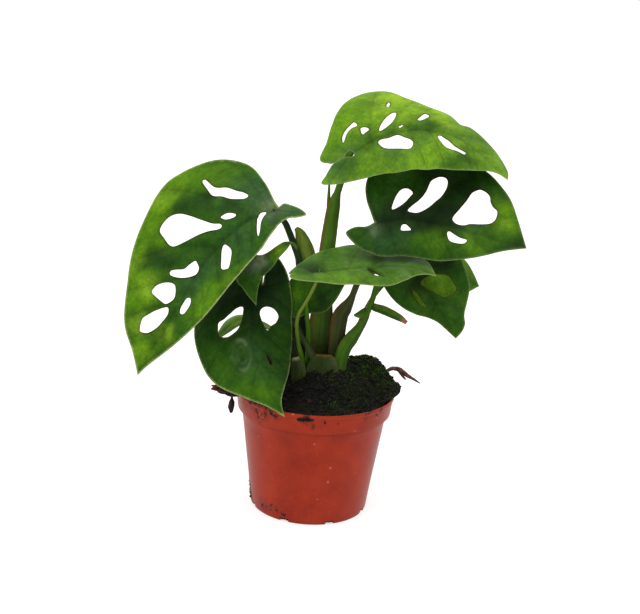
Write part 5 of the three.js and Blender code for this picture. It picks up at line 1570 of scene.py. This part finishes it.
def lump_points(lump, divisions):
    """A stretched ball whose surface is pushed in and out by a fixed pattern."""
    points, faces = ball(divisions)
    x, y, z = points.T
    bumps = np.sin(5 * x + 3 * z) * np.cos(4 * y - 2 * x) + 0.5 * np.sin(9 * z + 7 * y)
    fine = field(points, 3.2, 8) * 0.1 + field(points, 7, 9) * 0.05
    points = points * (1 + lump["rough"] * bumps + fine)[:, None] * lump["size"]
    turn = Matrix.Identity(3)
    for degrees, axis in zip(lump["turn"], "XYZ"):
        turn = turn @ Matrix.Rotation(math.radians(degrees), 3, axis)
    return points @ np.array(turn).T + lump["centre"], faces


def litter_piece(node, litter, material):
    """A rough woody piece made of stalks, and a lump where one is given, worn at its left end."""
    seed = litter["seed"]
    points, faces = [], []
    first = 0
    for path in litter["paths"]:
        rings, _ = stalk_rings(path, FRONT, LITTER_SIDES)
        flat = rings.reshape(-1, 3)
        rough = sum(height * field(flat, scale, seed + k) for k, (height, scale) in enumerate(LITTER_ROUGH))
        faces += ring_faces(len(rings), LITTER_SIDES, first)
        points.append(flat + outwards(rings) * rough[:, None])
        first += len(flat)
    if litter["lump"]:
        flat, lump_faces = lump_points(litter["lump"], 5)
        points.append(flat)
        faces += [tuple(face) for face in lump_faces + first]
    flat = np.vstack(points)
    dark, light, wear_and_sheen = (shade(tone) for tone in litter["tones"])
    colours = blended(dark, light, smooth(field(flat, 0.22, seed + 2), -0.3, 0.4))
    end = flat[:, 0].min()
    colours = blended(colours, wear_and_sheen, 1 - smooth(flat[:, 0], end + 1, end + litter["wear_and_sheen"]))
    dress(add_mesh(f"{node}_piece", flat, faces, colours=colours, materials=[material]), [node])


# --- Studio -----------------------------------------------------------------------------------


def camera():
    lens = bpy.data.cameras.new("camera")
    lens.lens, lens.sensor_width = CAMERA["lens"], CAMERA["sensor"]
    lens.clip_end = 200
    holder = bpy.data.objects.new("camera", lens)
    turn = Matrix(camera_axes()).transposed().to_4x4()
    holder.matrix_world = Matrix.Translation(Vector(CAMERA["place"]) * MM) @ turn
    bpy.context.collection.objects.link(holder)
    bpy.context.scene.camera = holder


def soft_lamp(name, direction, power, softness):
    lamp = bpy.data.lights.new(name, "SUN")
    lamp.energy, lamp.angle = power, math.radians(softness)
    holder = bpy.data.objects.new(name, lamp)
    holder.rotation_euler = Vector(direction).to_track_quat("Z", "Y").to_euler()
    bpy.context.collection.objects.link(holder)


def studio():
    """An even white world, two soft lamps and a pale floor."""
    world = bpy.data.worlds.new("studio")
    world.use_nodes = True
    background = world.node_tree.nodes["Background"]
    background.inputs["Color"].default_value = (1, 1, 1, 1)
    background.inputs["Strength"].default_value = WORLD_GLOW
    bpy.context.scene.world = world
    for name, direction, power, softness in LAMPS:
        soft_lamp(name, direction, power, softness)
    bpy.context.scene.view_settings.view_transform = "Standard"
    reach = FLOOR["reach"]
    corners = [(-reach, -reach, 0), (reach, -reach, 0), (reach, reach, 0), (-reach, reach, 0)]
    add_mesh("studio_floor", corners, [(0, 1, 2, 3)], materials=[floor_material()])


# --- Making it all ----------------------------------------------------------------------------


def make_everything():
    rng = random.Random(SEED)
    blade_materials = [leaf_material(), margin_material()]
    for number, (name, leaf) in enumerate(LEAVES.items()):
        blade_piece(name, leaf, blade_materials, seed=BLADE["seed"] + 3 * number)
    stalk = stalk_material()
    for number, (name, paths) in enumerate(STALKS.items()):
        stalk_piece(name, paths, stalk, seed=STALK["seed"] + number)
    pot_piece(pot_material())
    peat = earth_material("peat", 0.5, 1.3, 260)
    bark = earth_material("bark", 0.6, 1.4, 320, specular=0.35)
    soil_piece(peat)
    crumbs_piece(peat, rng)
    moss_piece(earth_material("moss", 0.8, 1.2, 200, specular=0.3), rng)
    for node, litter in LITTER.items():
        litter_piece(node, litter, bark)
    studio()
    camera()


make_everything()
